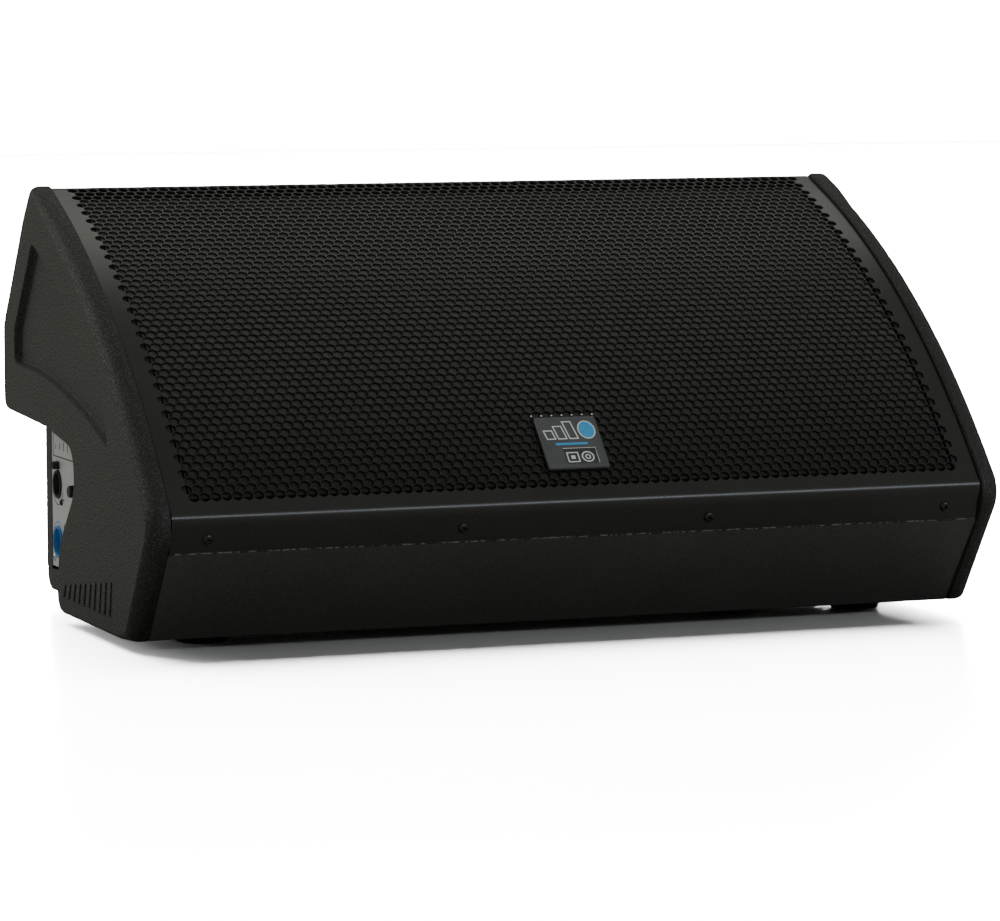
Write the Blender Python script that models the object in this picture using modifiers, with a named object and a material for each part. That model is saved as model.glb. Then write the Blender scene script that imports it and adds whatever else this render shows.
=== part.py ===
"""Powered stage monitor wedge: two thick side cheeks, a curved perforated grille, a 12 inch woofer and
a horn on a tilted baffle, and an amplifier whose connector panel shows through the left cheek's notch.

Metres, +Z up, -Y towards the performer, +X to the right seen from there. The origin is the middle of
the footprint, on the floor. Side profiles are drawn as (y, z) points measured from the cabinet's top
front edge, and the function `place` moves them into the frame.
"""
import math

import bmesh
import bpy
from mathutils import Matrix, Vector

COLLECTION = "stage_monitor_wedge"

# Driving dimensions.
WIDTH = 0.600                 # over both cheeks
CHEEK = 0.015                 # cheek thickness, the part seen beside the grille
WALL = 0.015                  # plywood of walls and boards
GAP = 0.0003                  # clearance between pieces that touch
SHEET = 0.0015                # grille steel
FOOT_HEIGHT = 0.0075
BODY_DROP = 0.2855            # from the top front edge down to the cabinet's underside
REAR = 0.070                  # from the top front edge back to the rear face
GRILLE_RADIUS = 0.640         # curve of the grille seen from the side
GRILLE_TOP_ANGLE = math.radians(19.0)
GRILLE_NOSE_ANGLE = math.radians(50.6)
FOAM_RADIUS = GRILLE_RADIUS - SHEET - GAP - 0.0002
FOAM_THICK = 0.0048
CHEEK_PROUD = 0.003           # cheeks stand this far above the grille
REAR_SLOPE = math.radians(53.4)
REAR_SLOPE_POINT = (0.0385, -0.0555)
KICK_LEAN = math.radians(37.5)          # kick panel from the vertical
KICK_FOOT = (-0.2338, -BODY_DROP)       # lower front edge of the kick panel
KICK_THICK = 0.012
FLANGE_LEAN = math.radians(19.5)
FLANGE_FOOT = (-0.2802, -0.2251)        # lower edge of the grille's flange
BAFFLE_SETBACK = 0.012        # baffle face behind the chord of the grille's curve
POCKET_DEPTH = 0.005          # relief in a cheek's outer face
POCKET_MARGIN = 0.033         # cheek left in front of the relief
POCKET_BOW = 0.73             # bend of the relief's lower edge, per metre
SCREWS_X = (-0.2595, -0.0865, 0.0865, 0.2595)
SCREW_HOLE = 0.0019           # radius, through the flange and into the nose rail
BADGE_SIZE = 0.043
BADGE_ANGLE = math.radians(46.7)

INNER = WIDTH / 2 - CHEEK     # inside face of a cheek
CAVITY = INNER - WALL         # inside face of a side wall, and the connector panel's face
SPAN = CAVITY - GAP           # half length of the boards between the side walls

# Drivers on the baffle: across the cabinet, and down the baffle from its top.
WOOFER_AT = (0.105, 0.176)
HORN_AT = (-0.166, 0.188)
PORTS_AT = ((-0.0375, 0.0495), (-0.0375, 0.2945))
WOOFER_CUT = 0.1415           # radius of the baffle's woofer hole
HORN_CUT = 0.090              # half side of its square horn hole
PORT_RADIUS = 0.024
PORT_WALL = 0.002

# Feet, as x and profile y.
FEET = {"front_left": (-0.236, -0.190), "front_right": (0.236, -0.190),
        "rear_left": (-0.236, 0.036), "rear_right": (0.236, 0.036)}

# Connector panel, seen from the left: (y, z) from the top front edge.
XLR_IN_AT = (0.0400, -0.2096)
XLR_LINK_AT = (-0.0620, -0.2096)
POWER_IN_AT = (0.0400, -0.2500)
POWER_LINK_AT = (0.0060, -0.2500)
LEVEL_AT = (-0.0245, -0.2085)
PRESET_AT = (-0.0300, -0.2480)
LIFT_AT = (-0.0150, -0.1790)
STATUS_AT = (-0.0450, -0.1790)
PANEL_BOX = ((-0.112, -0.2680), (0.0560, -0.1500))
PANEL_SHEET = 0.0015
XLR_RADIUS = 0.0100
POWER_RADIUS = 0.0112
SHAFT_HOLE = 0.0034           # for the knobs' shafts
LIGHT_RADIUS = 0.0016
LATCH_LIFT = 0.0135           # latch button above its socket's centre
LATCH_SIZE = (0.0080, 0.0050)

# Heatsink, at the left end of the rear face.
HEATSINK_X = (-CAVITY, -0.0880)
HEATSINK_Z = (-0.2702, -0.1275)
HEATSINK_DEPTH = 0.0145
FIN_COUNT = 21
FIN_THICK = 0.0024
FIN_ROOT = 0.0050             # thickness of the base that the fins stand on
BOARD_THICK = 0.0016
BOARD_STANDOFF = 0.0060       # power board's middle, off the heatsink


# ---------------------------------------------------------------- flat geometry
def turn(angle):
    return Vector((math.cos(angle), math.sin(angle)))


def meet(point, way, other, other_way):
    """Where two lines cross, each given by a point and a direction."""
    a, b = Vector(way), Vector(other_way)
    gap = Vector(other) - Vector(point)
    cross = a.x * b.y - a.y * b.x
    return Vector(point) + a * ((gap.x * b.y - gap.y * b.x) / cross)


def rounded(corners, steps=4):
    """A closed outline from (y, z, radius) corners, with each corner made an arc of that radius."""
    points = []
    count = len(corners)
    for i, (x, y, radius) in enumerate(corners):
        here = Vector((x, y))
        if radius <= 0:
            points.append(here)
            continue
        back = (Vector(corners[i - 1][:2]) - here).normalized()
        ahead = (Vector(corners[(i + 1) % count][:2]) - here).normalized()
        half = back.angle(ahead) / 2
        centre = here + (back + ahead).normalized() * (radius / math.sin(half))
        first = here + back * (radius / math.tan(half)) - centre
        sweep = first.angle_signed(here + ahead * (radius / math.tan(half)) - centre)
        for k in range(steps + 1):
            spin = Matrix.Rotation(-sweep * k / steps, 2)
            points.append(centre + spin @ first)
    return points


ARC_CENTRE = (Vector((0, 0)) + GRILLE_RADIUS * turn(GRILLE_TOP_ANGLE - math.pi / 2))


def on_arc(radius, angle):
    """A point of the circle round the grille's centre, angle 0 straight above it, positive forwards."""
    return ARC_CENTRE + radius * Vector((-math.sin(angle), math.cos(angle)))


SLOPE_WAY = turn(-REAR_SLOPE)
SLOPE_OUT = Vector((math.sin(REAR_SLOPE), math.cos(REAR_SLOPE)))
KICK_WAY = Vector((-math.sin(KICK_LEAN), math.cos(KICK_LEAN)))
KICK_OUT = Vector((-math.cos(KICK_LEAN), -math.sin(KICK_LEAN)))
FLANGE_WAY = Vector((-math.sin(FLANGE_LEAN), math.cos(FLANGE_LEAN)))
FLANGE_OUT = Vector((-math.cos(FLANGE_LEAN), -math.sin(FLANGE_LEAN)))


def slope_line(inset):
    """A point of the rear slope's line, moved inwards by inset."""
    return Vector(REAR_SLOPE_POINT) - SLOPE_OUT * inset


def arc_stretch(radius, start, end, steps):
    return [(*on_arc(radius, start + (end - start) * k / steps), 0) for k in range(steps + 1)]


def front_corners(radius, top, slope_inset, nose_point, nose_way, top_round, nose_round, steps=20):
    """Apex corner, the curved front and the nose corner of a side outline."""
    first = on_arc(radius, top)
    last_angle = GRILLE_NOSE_ANGLE - math.radians(2.2)
    last = on_arc(radius, last_angle)
    apex = meet(first, turn(top), slope_line(slope_inset), SLOPE_WAY)
    nose = meet(last, turn(last_angle + math.pi), nose_point, nose_way)
    return ([(*apex, top_round)] + arc_stretch(radius, top, last_angle, steps) + [(*nose, nose_round)])


def notch_corners():
    """The open hand notch at the lower rear, from the underside up to the rear face."""
    return [(-0.061, -BODY_DROP, 0.014), (-0.072, -0.238, 0.045), (-0.110, -0.200, 0.020),
            (-0.110, -0.1725, 0.017), (-0.040, -0.1625, 0.060), (REAR, -0.1575, 0.009)]


def side_outline(radius, slope_inset, kick_inset, drop, top_round, nose_round, foot_round):
    """Outline of a cheek or a side wall, counted round from the apex."""
    kick_foot = Vector(KICK_FOOT) - KICK_OUT * kick_inset
    foot = meet(kick_foot, KICK_WAY, (0, -drop), (1, 0))
    corners = front_corners(radius, math.radians(21.6), slope_inset, kick_foot, KICK_WAY,
                            top_round, nose_round)
    corners.append((*foot, foot_round))
    corners += notch_corners()
    shoulder = meet(slope_line(slope_inset), SLOPE_WAY, (REAR, 0), (0, 1))
    corners.append((*shoulder, 0.012))
    return rounded(corners)


CHEEK_OUTLINE = side_outline(GRILLE_RADIUS + CHEEK_PROUD, 0, -0.0015, BODY_DROP, 0.007, 0.024, 0.003)
SHIFT = Vector((-(min(p.x for p in CHEEK_OUTLINE) + REAR) / 2, BODY_DROP + FOOT_HEIGHT))


def place(point, x=0.0):
    """A (y, z) profile point as a point of the frame."""
    return Vector((x, point[0] + SHIFT.x, point[1] + SHIFT.y))


# ---------------------------------------------------------------- the baffle's plane
CHORD_WAY = (on_arc(GRILLE_RADIUS, GRILLE_NOSE_ANGLE) - on_arc(GRILLE_RADIUS, GRILLE_TOP_ANGLE)).normalized()
BAFFLE_OUT = Vector((CHORD_WAY.y, -CHORD_WAY.x))


def on_baffle(down, height):
    """A (y, z) point: down along the baffle from its top, and height in front of its face."""
    start = on_arc(GRILLE_RADIUS, GRILLE_TOP_ANGLE) - BAFFLE_OUT * BAFFLE_SETBACK
    return start + CHORD_WAY * down + BAFFLE_OUT * height


OUT = Vector((0, BAFFLE_OUT.x, BAFFLE_OUT.y))
DOWN = Vector((0, CHORD_WAY.x, CHORD_WAY.y))
ACROSS = Vector((1, 0, 0))
BACKWARD = Vector((0, 1, 0))
UP = Vector((0, 0, 1))


# ---------------------------------------------------------------- scene and materials
def clear_scene():
    for old in list(bpy.data.objects):
        bpy.data.objects.remove(old, do_unlink=True)


def new_collection(name):
    group = bpy.data.collections.new(name)
    bpy.context.scene.collection.children.link(group)
    return group


clear_scene()
PARTS = new_collection(COLLECTION)
CUTTERS = new_collection("cutters")

FINISHES = {
    "textured_black": ((0.022, 0.022, 0.021), 0.62, 0.0),
    "grille_black": ((0.020, 0.020, 0.020), 0.42, 0.6),
    "foam": ((0.010, 0.010, 0.010), 0.95, 0.0),
    "plywood": ((0.52, 0.36, 0.20), 0.70, 0.0),
    "rubber": ((0.015, 0.015, 0.015), 0.80, 0.0),
    "badge": ((0.045, 0.050, 0.055), 0.35, 0.0),
    "screw": ((0.030, 0.030, 0.030), 0.35, 0.9),
    "panel": ((0.74, 0.75, 0.76), 0.45, 0.2),
    "black_plastic": ((0.018, 0.018, 0.020), 0.40, 0.0),
    "blue_plastic": ((0.050, 0.330, 0.720), 0.35, 0.0),
    "grey_plastic": ((0.420, 0.430, 0.440), 0.45, 0.0),
    "cast_basket": ((0.060, 0.060, 0.065), 0.45, 0.8),
    "ferrite": ((0.070, 0.070, 0.072), 0.60, 0.3),
    "paper_cone": ((0.030, 0.030, 0.030), 0.85, 0.0),
    "cloth": ((0.110, 0.060, 0.030), 0.90, 0.0),
    "heatsink": ((0.020, 0.020, 0.021), 0.45, 0.9),
    "board": ((0.030, 0.180, 0.080), 0.45, 0.0),
    "copper": ((0.550, 0.240, 0.100), 0.35, 0.9),
    "titanium": ((0.600, 0.600, 0.620), 0.30, 1.0),
    "wadding": ((0.780, 0.780, 0.760), 0.95, 0.0),
    "green_lens": ((0.100, 0.650, 0.200), 0.20, 0.0),
}


def finish(name, node):
    color, roughness, metallic = FINISHES[name]
    material = bpy.data.materials.new(node)
    material.use_nodes = True
    shader = material.node_tree.nodes["Principled BSDF"]
    shader.inputs["Base Color"].default_value = (*color, 1)
    shader.inputs["Roughness"].default_value = roughness
    shader.inputs["Metallic"].default_value = metallic
    return material


def frame_matrix(origin, x_way, y_way):
    """A matrix with its X and Y along two given directions."""
    x_axis = Vector(x_way).normalized()
    z_axis = x_axis.cross(Vector(y_way)).normalized()
    y_axis = z_axis.cross(x_axis)
    matrix = Matrix((x_axis, y_axis, z_axis)).transposed().to_4x4()
    matrix.translation = origin
    return matrix


def axis_matrix(origin, z_way):
    """A matrix with its Z along a given direction."""
    side = ACROSS if abs(Vector(z_way).normalized().x) < 0.9 else UP
    z_axis = Vector(z_way).normalized()
    x_axis = (side - z_axis * side.dot(z_axis)).normalized()
    return frame_matrix(origin, x_axis, z_axis.cross(x_axis))


def add(name, data, matrix, look, group=None):
    node = bpy.data.objects.new(name, data)
    node.matrix_world = matrix
    if group is None:
        PARTS.objects.link(node)
        data.materials.append(finish(look, name))
    else:
        group.objects.link(node)
        node.hide_render = True
        node.display_type = "WIRE"
    bpy.context.view_layer.update()
    return node


# ---------------------------------------------------------------- makers
def solid_from(curve_object, name, look, group=None):
    """A curve object's shape as a welded mesh object; the curve is removed."""
    graph = bpy.context.evaluated_depsgraph_get()
    mesh = bpy.data.meshes.new_from_object(curve_object.evaluated_get(graph))
    form = bmesh.new()
    form.from_mesh(mesh)
    bmesh.ops.remove_doubles(form, verts=form.verts, dist=1e-6)
    bmesh.ops.dissolve_limit(form, angle_limit=0.0005, verts=form.verts, edges=form.edges)
    bmesh.ops.triangulate(form, faces=form.faces)
    bmesh.ops.recalc_face_normals(form, faces=form.faces)
    form.to_mesh(mesh)
    form.free()
    mesh.materials.clear()
    matrix = curve_object.matrix_world.copy()
    bpy.data.objects.remove(curve_object, do_unlink=True)
    return add(name, mesh, matrix, look, group)


def plate(name, outlines, thickness, matrix, look, group=None):
    """A flat piece: the first outline with the others as holes, centred on the matrix's XY plane."""
    curve = bpy.data.curves.new(name, "CURVE")
    curve.dimensions = "2D"
    curve.fill_mode = "BOTH"
    curve.extrude = thickness / 2
    for outline in outlines:
        spline = curve.splines.new("POLY")
        spline.points.add(len(outline) - 1)
        for point, (x, y) in zip(spline.points, outline):
            point.co = (x, y, 0, 1)
        spline.use_cyclic_u = True
    holder = bpy.data.objects.new(name + "_outline", curve)
    holder.matrix_world = matrix
    CUTTERS.objects.link(holder)
    bpy.context.view_layer.update()
    return solid_from(holder, name, look, group)


def side_plate(name, outlines, x_low, x_high, look, group=None):
    """A plate parallel to the cheeks, drawn in (y, z) profile points."""
    matrix = frame_matrix(place((0, 0), (x_low + x_high) / 2), BACKWARD, UP)
    return plate(name, outlines, x_high - x_low, matrix, look, group)


def turned(name, profile, matrix, look, steps=32, group=None):
    """A turned piece about the matrix's Z, from (radius, height) points down its outer side."""
    mesh = bpy.data.meshes.new(name)
    points = [(radius, 0, height) for radius, height in profile]
    edges = [(i, i + 1) for i in range(len(points) - 1)]
    if profile[0][0] > 0:
        edges.append((len(points) - 1, 0))
    mesh.from_pydata(points, edges, [])
    node = add(name, mesh, matrix, look, group)
    screw = node.modifiers.new("turn", "SCREW")
    screw.steps = steps
    screw.render_steps = steps
    screw.use_merge_vertices = True
    screw.merge_threshold = 0.00001
    screw.use_smooth_shade = True
    return node


def block(name, size, matrix, look, bevel=0.0, group=None):
    """A box centred on the matrix, with its edges bevelled."""
    form = bmesh.new()
    bmesh.ops.create_cube(form, size=1.0, matrix=Matrix.Diagonal((*size, 1)))
    mesh = bpy.data.meshes.new(name)
    form.to_mesh(mesh)
    form.free()
    node = add(name, mesh, matrix, look, group)
    if bevel:
        soften(node, bevel)
    return node


def soften(node, width, segments=2, angle=30):
    bevel = node.modifiers.new("edges", "BEVEL")
    bevel.width = width
    bevel.segments = segments
    bevel.limit_method = "ANGLE"
    bevel.angle_limit = math.radians(angle)
    return node


def cut(node, cutter, operation="DIFFERENCE"):
    tool = node.modifiers.new(cutter.name, "BOOLEAN")
    tool.operation = operation
    tool.object = cutter
    return node


def joined(node, *others):
    """Boolean union of a node with guide shapes."""
    for other in others:
        cut(node, other, "UNION")
    return node


def drill(node, radius, origin, way, length, steps=24):
    """A round hole centred on origin along way."""
    profile = [(0, length / 2), (radius, length / 2), (radius, -length / 2), (0, -length / 2)]
    cutter = turned(f"{node.name}_drill_{len(CUTTERS.objects)}", profile, axis_matrix(origin, way),
                    None, steps, CUTTERS)
    return cut(node, cutter)


def tube(name, route, radius, look):
    """A cable along a smooth curve through the route's points."""
    points = []
    for i in range(len(route) - 1):
        before, here = route[max(i - 1, 0)], route[i]
        there, after = route[i + 1], route[min(i + 2, len(route) - 1)]
        for k in range(4):
            t = k / 4
            points.append(0.5 * (2 * here + (there - before) * t
                                 + (2 * before - 5 * here + 4 * there - after) * t * t
                                 + (3 * here - before - 3 * there + after) * t ** 3))
    points.append(route[-1])
    curve = bpy.data.curves.new(name, "CURVE")
    curve.dimensions = "3D"
    curve.bevel_depth = radius
    curve.bevel_resolution = 2
    curve.use_fill_caps = True
    spline = curve.splines.new("POLY")
    spline.points.add(len(points) - 1)
    for slot, point in zip(spline.points, points):
        slot.co = (*point, 1)
    return add(name, curve, Matrix.Identity(4), look)


def circle(radius, centre=(0, 0), steps=32):
    return [Vector(centre) + radius * turn(2 * math.pi * k / steps) for k in range(steps)]


def box_outline(low, high, radius=0.0, steps=3):
    corners = [(low[0], low[1], radius), (high[0], low[1], radius),
               (high[0], high[1], radius), (low[0], high[1], radius)]
    return rounded(corners, steps)


# ---------------------------------------------------------------- cheeks and side walls
def pocket_outline():
    """The curved triangular relief in the outer face of a cheek."""
    radius = GRILLE_RADIUS + CHEEK_PROUD - POCKET_MARGIN
    front = arc_stretch(radius, math.radians(23.2), math.radians(41.3), 9)
    low_rear = Vector((0.0395, -0.1252))
    lower = [(low_rear.x - run, low_rear.y - POCKET_BOW * run * run, 0)
             for run in (0.210, 0.180, 0.150, 0.120, 0.090, 0.060, 0.030)]
    corners = [(-0.0105, -0.0375, 0.004)] + front[1:-1]
    corners += [(-0.1985, -0.1600, 0.003), (-0.1950, -0.1657, 0.003)] + lower
    corners += [(*low_rear, 0.006), (low_rear.x, -0.1000, 0.012)]
    return rounded(corners)


def make_cheek(side, label):
    """A thick outer side panel, with a round-over outside and a shallow pocket in its face."""
    low, high = sorted((side * INNER, side * WIDTH / 2))
    cheek = side_plate(f"cheek_{label}", [CHEEK_OUTLINE], low, high, "textured_black")
    soften(cheek, 0.0035, 1, 50)
    floor = side * (WIDTH / 2 - POCKET_DEPTH)
    low, high = sorted((floor, floor + side * 4 * POCKET_DEPTH))
    pocket = side_plate(f"cheek_{label}_pocket", [pocket_outline()], low, high, None, CUTTERS)
    cut(cheek, pocket)
    return cheek


def make_side_wall(side, label):
    """The inner wall behind a cheek, with the same hand notch."""
    outline = side_outline(GRILLE_RADIUS - SHEET - GAP, 0.0018, KICK_THICK + GAP, BODY_DROP,
                           0.002, 0.010, 0.001)
    low, high = sorted((side * CAVITY, side * (INNER - GAP)))
    return side_plate(f"side_wall_{label}", [outline], low, high, "plywood")


# ---------------------------------------------------------------- boards
def board_across(name, corners, look, half_span=SPAN, steps=4):
    """A board whose side profile runs right across the cabinet."""
    return side_plate(name, [rounded(corners, steps)], -half_span, half_span, look)


def kick_top():
    """Corners of the kick panel's upper end: under the flange's edge, behind it, and inside."""
    height = (Vector(FLANGE_FOOT) - Vector(KICK_FOOT)).dot(KICK_WAY) - GAP
    outer = Vector(KICK_FOOT) + KICK_WAY * height
    step = outer - FLANGE_OUT * (SHEET + GAP)
    inner = Vector(KICK_FOOT) - KICK_OUT * KICK_THICK + KICK_WAY * (height - 0.0060)
    return outer, step, inner


def make_boards():
    inner_kick = Vector(KICK_FOOT) - KICK_OUT * (KICK_THICK + GAP)
    top_of_bottom = -BODY_DROP + WALL
    board_across("bottom_board", [
        (*meet(inner_kick, KICK_WAY, (0, -BODY_DROP), (1, 0)), 0),
        (REAR, -BODY_DROP, 0.012), (REAR, top_of_bottom, 0.001),
        (*meet(inner_kick, KICK_WAY, (0, top_of_bottom), (1, 0)), 0)], "textured_black")

    top_outer, top_step, top_inner = kick_top()
    kick_inner = Vector(KICK_FOOT) - KICK_OUT * KICK_THICK
    board_across("kick_panel", [
        (*KICK_FOOT, 0.001), (*meet(kick_inner, KICK_WAY, (0, -BODY_DROP), (1, 0)), 0),
        (*top_inner, 0), (*top_step, 0), (*top_outer, 0)], "textured_black", INNER - GAP)

    outer, inner = slope_line(0.0018), slope_line(0.0018 + WALL)
    under = FOAM_RADIUS - FOAM_THICK - 2 * GAP
    tops = [meet(on_arc(under, math.radians(20)), turn(math.radians(20)), line, SLOPE_WAY)
            for line in (outer, inner)]
    ends = [meet(line, SLOPE_WAY, (REAR, 0), (0, 1)) for line in (outer, inner)]
    board_across("rear_slope_panel", [(*tops[0], 0), (*tops[1], 0), (*ends[1], 0), (*ends[0], 0.01)],
                 "textured_black")

    under_slope = slope_line(0.0018 + WALL + 2 * GAP)
    upper = [meet(under_slope, SLOPE_WAY, (y, 0), (0, 1)) for y in (REAR, REAR - WALL)]
    lower = top_of_bottom + GAP
    side_plate("rear_lower_panel", [rounded([
        (*upper[0], 0), (*upper[1], 0), (REAR - WALL, lower, 0), (REAR, lower, 0)])],
        HEATSINK_X[1] + GAP, SPAN, "textured_black")


def make_nose_rail():
    """Timber behind the grille's flange, which takes its four screws."""
    face = Vector(FLANGE_FOOT) - FLANGE_OUT * (SHEET + GAP)
    low = face + FLANGE_WAY * GAP
    low_back = kick_top()[2] + KICK_WAY * (GAP * 2)
    top = on_arc(GRILLE_RADIUS - 0.008, GRILLE_NOSE_ANGLE - math.radians(0.35))
    front = meet(face, FLANGE_WAY, top, turn(GRILLE_NOSE_ANGLE))
    rail = board_across("nose_rail", [
        (*low, 0), (*low_back, 0), (*(top - FLANGE_OUT * 0.012), 0), (*(front + FLANGE_WAY * -0.001), 0)],
        "plywood")
    for x in SCREWS_X:
        middle = place(screw_seat(), x) - flange_normal() * 0.006
        drill(rail, SCREW_HOLE, middle, flange_normal(), 0.022, 12)
    return rail


def make_blank_plate():
    """Steel plate that closes the right notch, where the left one has the connector panel."""
    low, high = PANEL_BOX
    return side_plate("notch_plate_right", [box_outline(low, (high[0] - 0.0015, high[1]), 0.004)],
                      SPAN - PANEL_SHEET - GAP, SPAN, "textured_black")


# ---------------------------------------------------------------- grille
def screw_seat():
    """Middle of the flange's outer face, as a (y, z) profile point."""
    return Vector(FLANGE_FOOT) + FLANGE_WAY * 0.0105


def flange_normal():
    return Vector((0, FLANGE_OUT.x, FLANGE_OUT.y))


def grille_path(inset):
    """One face of the grille sheet: rear lip, curve, nose fold and flange."""
    radius = GRILLE_RADIUS - inset
    top = math.radians(21.6)
    last_angle = GRILLE_NOSE_ANGLE - math.radians(0.9)
    apex = meet(on_arc(radius, top), turn(top), slope_line(inset), SLOPE_WAY)
    flange = Vector(FLANGE_FOOT) - FLANGE_OUT * inset
    nose = meet(on_arc(radius, last_angle), turn(last_angle + math.pi), flange, FLANGE_WAY)
    lip = apex + SLOPE_WAY * 0.009
    return ([(*lip, 0), (*apex, 0.0032 - inset)] + arc_stretch(radius, top, last_angle, 20)
            + [(*nose, 0.0045 - inset), (*flange, 0)])


def make_grille():
    sheet = board_across("grille", grille_path(0) + grille_path(SHEET)[::-1], "grille_black",
                         INNER - GAP, 3)
    for x in SCREWS_X:
        drill(sheet, SCREW_HOLE, place(screw_seat(), x), flange_normal(), 0.008, 12)
    return sheet


def make_foam():
    """Reticulated foam behind the grille."""
    outer, inner = FOAM_RADIUS, FOAM_RADIUS - FOAM_THICK
    angles = math.radians(20.7), math.radians(49.5)
    corners = arc_stretch(outer, *angles, 14) + arc_stretch(inner, *angles, 14)[::-1]
    return board_across("grille_foam", corners, "foam", SPAN - 0.001)


def make_badge():
    """A flat plate on the lower part of the grille."""
    thickness, half = 0.0014, BADGE_SIZE / 2
    way = turn(BADGE_ANGLE)
    seat = place(on_arc(GRILLE_RADIUS + thickness, BADGE_ANGLE), -0.001)
    matrix = frame_matrix(seat, ACROSS, Vector((0, way.x, way.y)))
    badge = plate("badge", [box_outline((-half, -half), (half, half), 0.001)], thickness, matrix, "badge")
    return soften(badge, 0.0003, 1, 60)


def make_grille_screws():
    head = [(0, 0.0014), (0.0018, 0.0014), (0.0033, 0.0006), (0.0035, GAP), (0.0015, GAP),
            (0.0015, -0.013), (0, -0.0145)]
    for i, x in enumerate(SCREWS_X):
        turned(f"grille_screw_{i + 1}", head, axis_matrix(place(screw_seat(), x), flange_normal()),
               "screw", 16)


# ---------------------------------------------------------------- baffle and drivers
def baffle_matrix(at, height=0.0):
    """X across and Z out of the baffle, at a point of its face."""
    return frame_matrix(place(on_baffle(at[1], height), at[0]), ACROSS, -DOWN)


def make_baffle():
    top, bottom = 0.0200, 0.3260
    middle = (top + bottom) / 2
    outline = box_outline((-SPAN, -(bottom - middle)), (SPAN, middle - top))
    holes = [circle(WOOFER_CUT, (WOOFER_AT[0], middle - WOOFER_AT[1]), 36)]
    x, y = HORN_AT[0], middle - HORN_AT[1]
    holes.append(box_outline((x - HORN_CUT, y - HORN_CUT), (x + HORN_CUT, y + HORN_CUT), 0.012))
    for x, down in PORTS_AT:
        holes.append(circle(PORT_RADIUS + PORT_WALL + 2 * GAP, (x, middle - down), 24))
    return plate("baffle_board", [outline] + holes, WALL, baffle_matrix((0, middle), -WALL / 2), "plywood")


def make_brace():
    """Upright panel between the horn and woofer chambers, with a large window."""
    back = -WALL - 2 * GAP
    wall = REAR - WALL - GAP
    low = -BODY_DROP + WALL + GAP
    slope = slope_line(0.0018 + WALL + 2 * GAP)
    top = meet(on_baffle(0, back), CHORD_WAY, slope, SLOPE_WAY)
    corner = meet(slope, SLOPE_WAY, (wall, 0), (0, 1))
    front = on_baffle(0.3280, back)
    heel = meet(front, BAFFLE_OUT, (0, low), (1, 0))
    outline = rounded([(*top, 0), (*front, 0), (*heel, 0), (wall, low, 0), (*corner, 0)])
    window = rounded([(-0.010, -0.105, 0.02), (-0.150, -0.215, 0.02), (-0.140, -0.245, 0.015),
                      (0.030, -0.245, 0.02), (0.030, -0.120, 0.02)])
    return side_plate("inner_brace", [outline, window], -0.0800, -0.0680, "plywood")


def make_woofer():
    spot = baffle_matrix(WOOFER_AT)
    basket = turned("woofer_basket", [
        (0.1550, 0.0050), (0.1555, 0.0045), (0.1555, GAP), (0.1405, GAP), (0.1395, -0.0140),
        (0.0800, -0.0765), (0.0800, -0.0790), (0.0400, -0.0790), (0.0400, -0.0760), (0.0610, -0.0760),
        (0.0640, -0.0700), (0.0760, -0.0735), (0.1360, -0.0130), (0.1375, 0.0020), (0.1420, 0.0020),
        (0.1425, 0.0050)], spot, "cast_basket", 30)
    for k in range(6):
        angle = math.pi * (2 * k + 1) / 6
        place_at = spot @ Matrix.Translation((0.112 * math.cos(angle), 0.112 * math.sin(angle), -0.044))
        window = block(f"basket_window_{k}", (0.058, 0.068, 0.038),
                       place_at @ Matrix.Rotation(angle, 4, "Z") @ Matrix.Rotation(-0.81, 4, "Y"),
                       None, 0, CUTTERS)
        cut(basket, window)
    turned("woofer_magnet", [
        (0, -0.0800), (0.0305, -0.0800), (0.0305, -0.1080), (0.0340, -0.1080), (0.0340, -0.0793),
        (0.0750, -0.0793), (0.0750, -0.1150), (0, -0.1180)], spot, "ferrite", 28)
    turned("woofer_surround", [
        (0.1250, -0.0022), (0.1262, 0.0010), (0.1300, 0.0046), (0.1335, 0.0050), (0.1370, 0.0040),
        (0.1371, 0.0028), (0.1332, 0.0038), (0.1272, 0.0000), (0.1262, -0.0030)],
        spot, "rubber", 28)
    turned("woofer_spider", [
        (0.0334, -0.0640), (0.0430, -0.0625), (0.0530, -0.0655), (0.0625, -0.0640),
        (0.0625, -0.0652), (0.0530, -0.0667), (0.0430, -0.0637), (0.0334, -0.0652)], spot, "cloth", 24)
    turned("woofer_cone", [
        (0.0330, -0.0510), (0.1247, -0.0030), (0.1247, -0.0046), (0.0330, -0.0528)],
        spot, "paper_cone", 32)
    turned("woofer_dust_cap", [
        (0, -0.0290), (0.0200, -0.0322), (0.0395, -0.0468), (0.0380, -0.0476), (0.0190, -0.0336),
        (0, -0.0304)], spot, "paper_cone", 24)
    turned("voice_coil", [
        (0.0316, -0.0530), (0.0330, -0.0530), (0.0330, -0.0935), (0.0316, -0.0935)], spot, "copper", 24)


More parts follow.
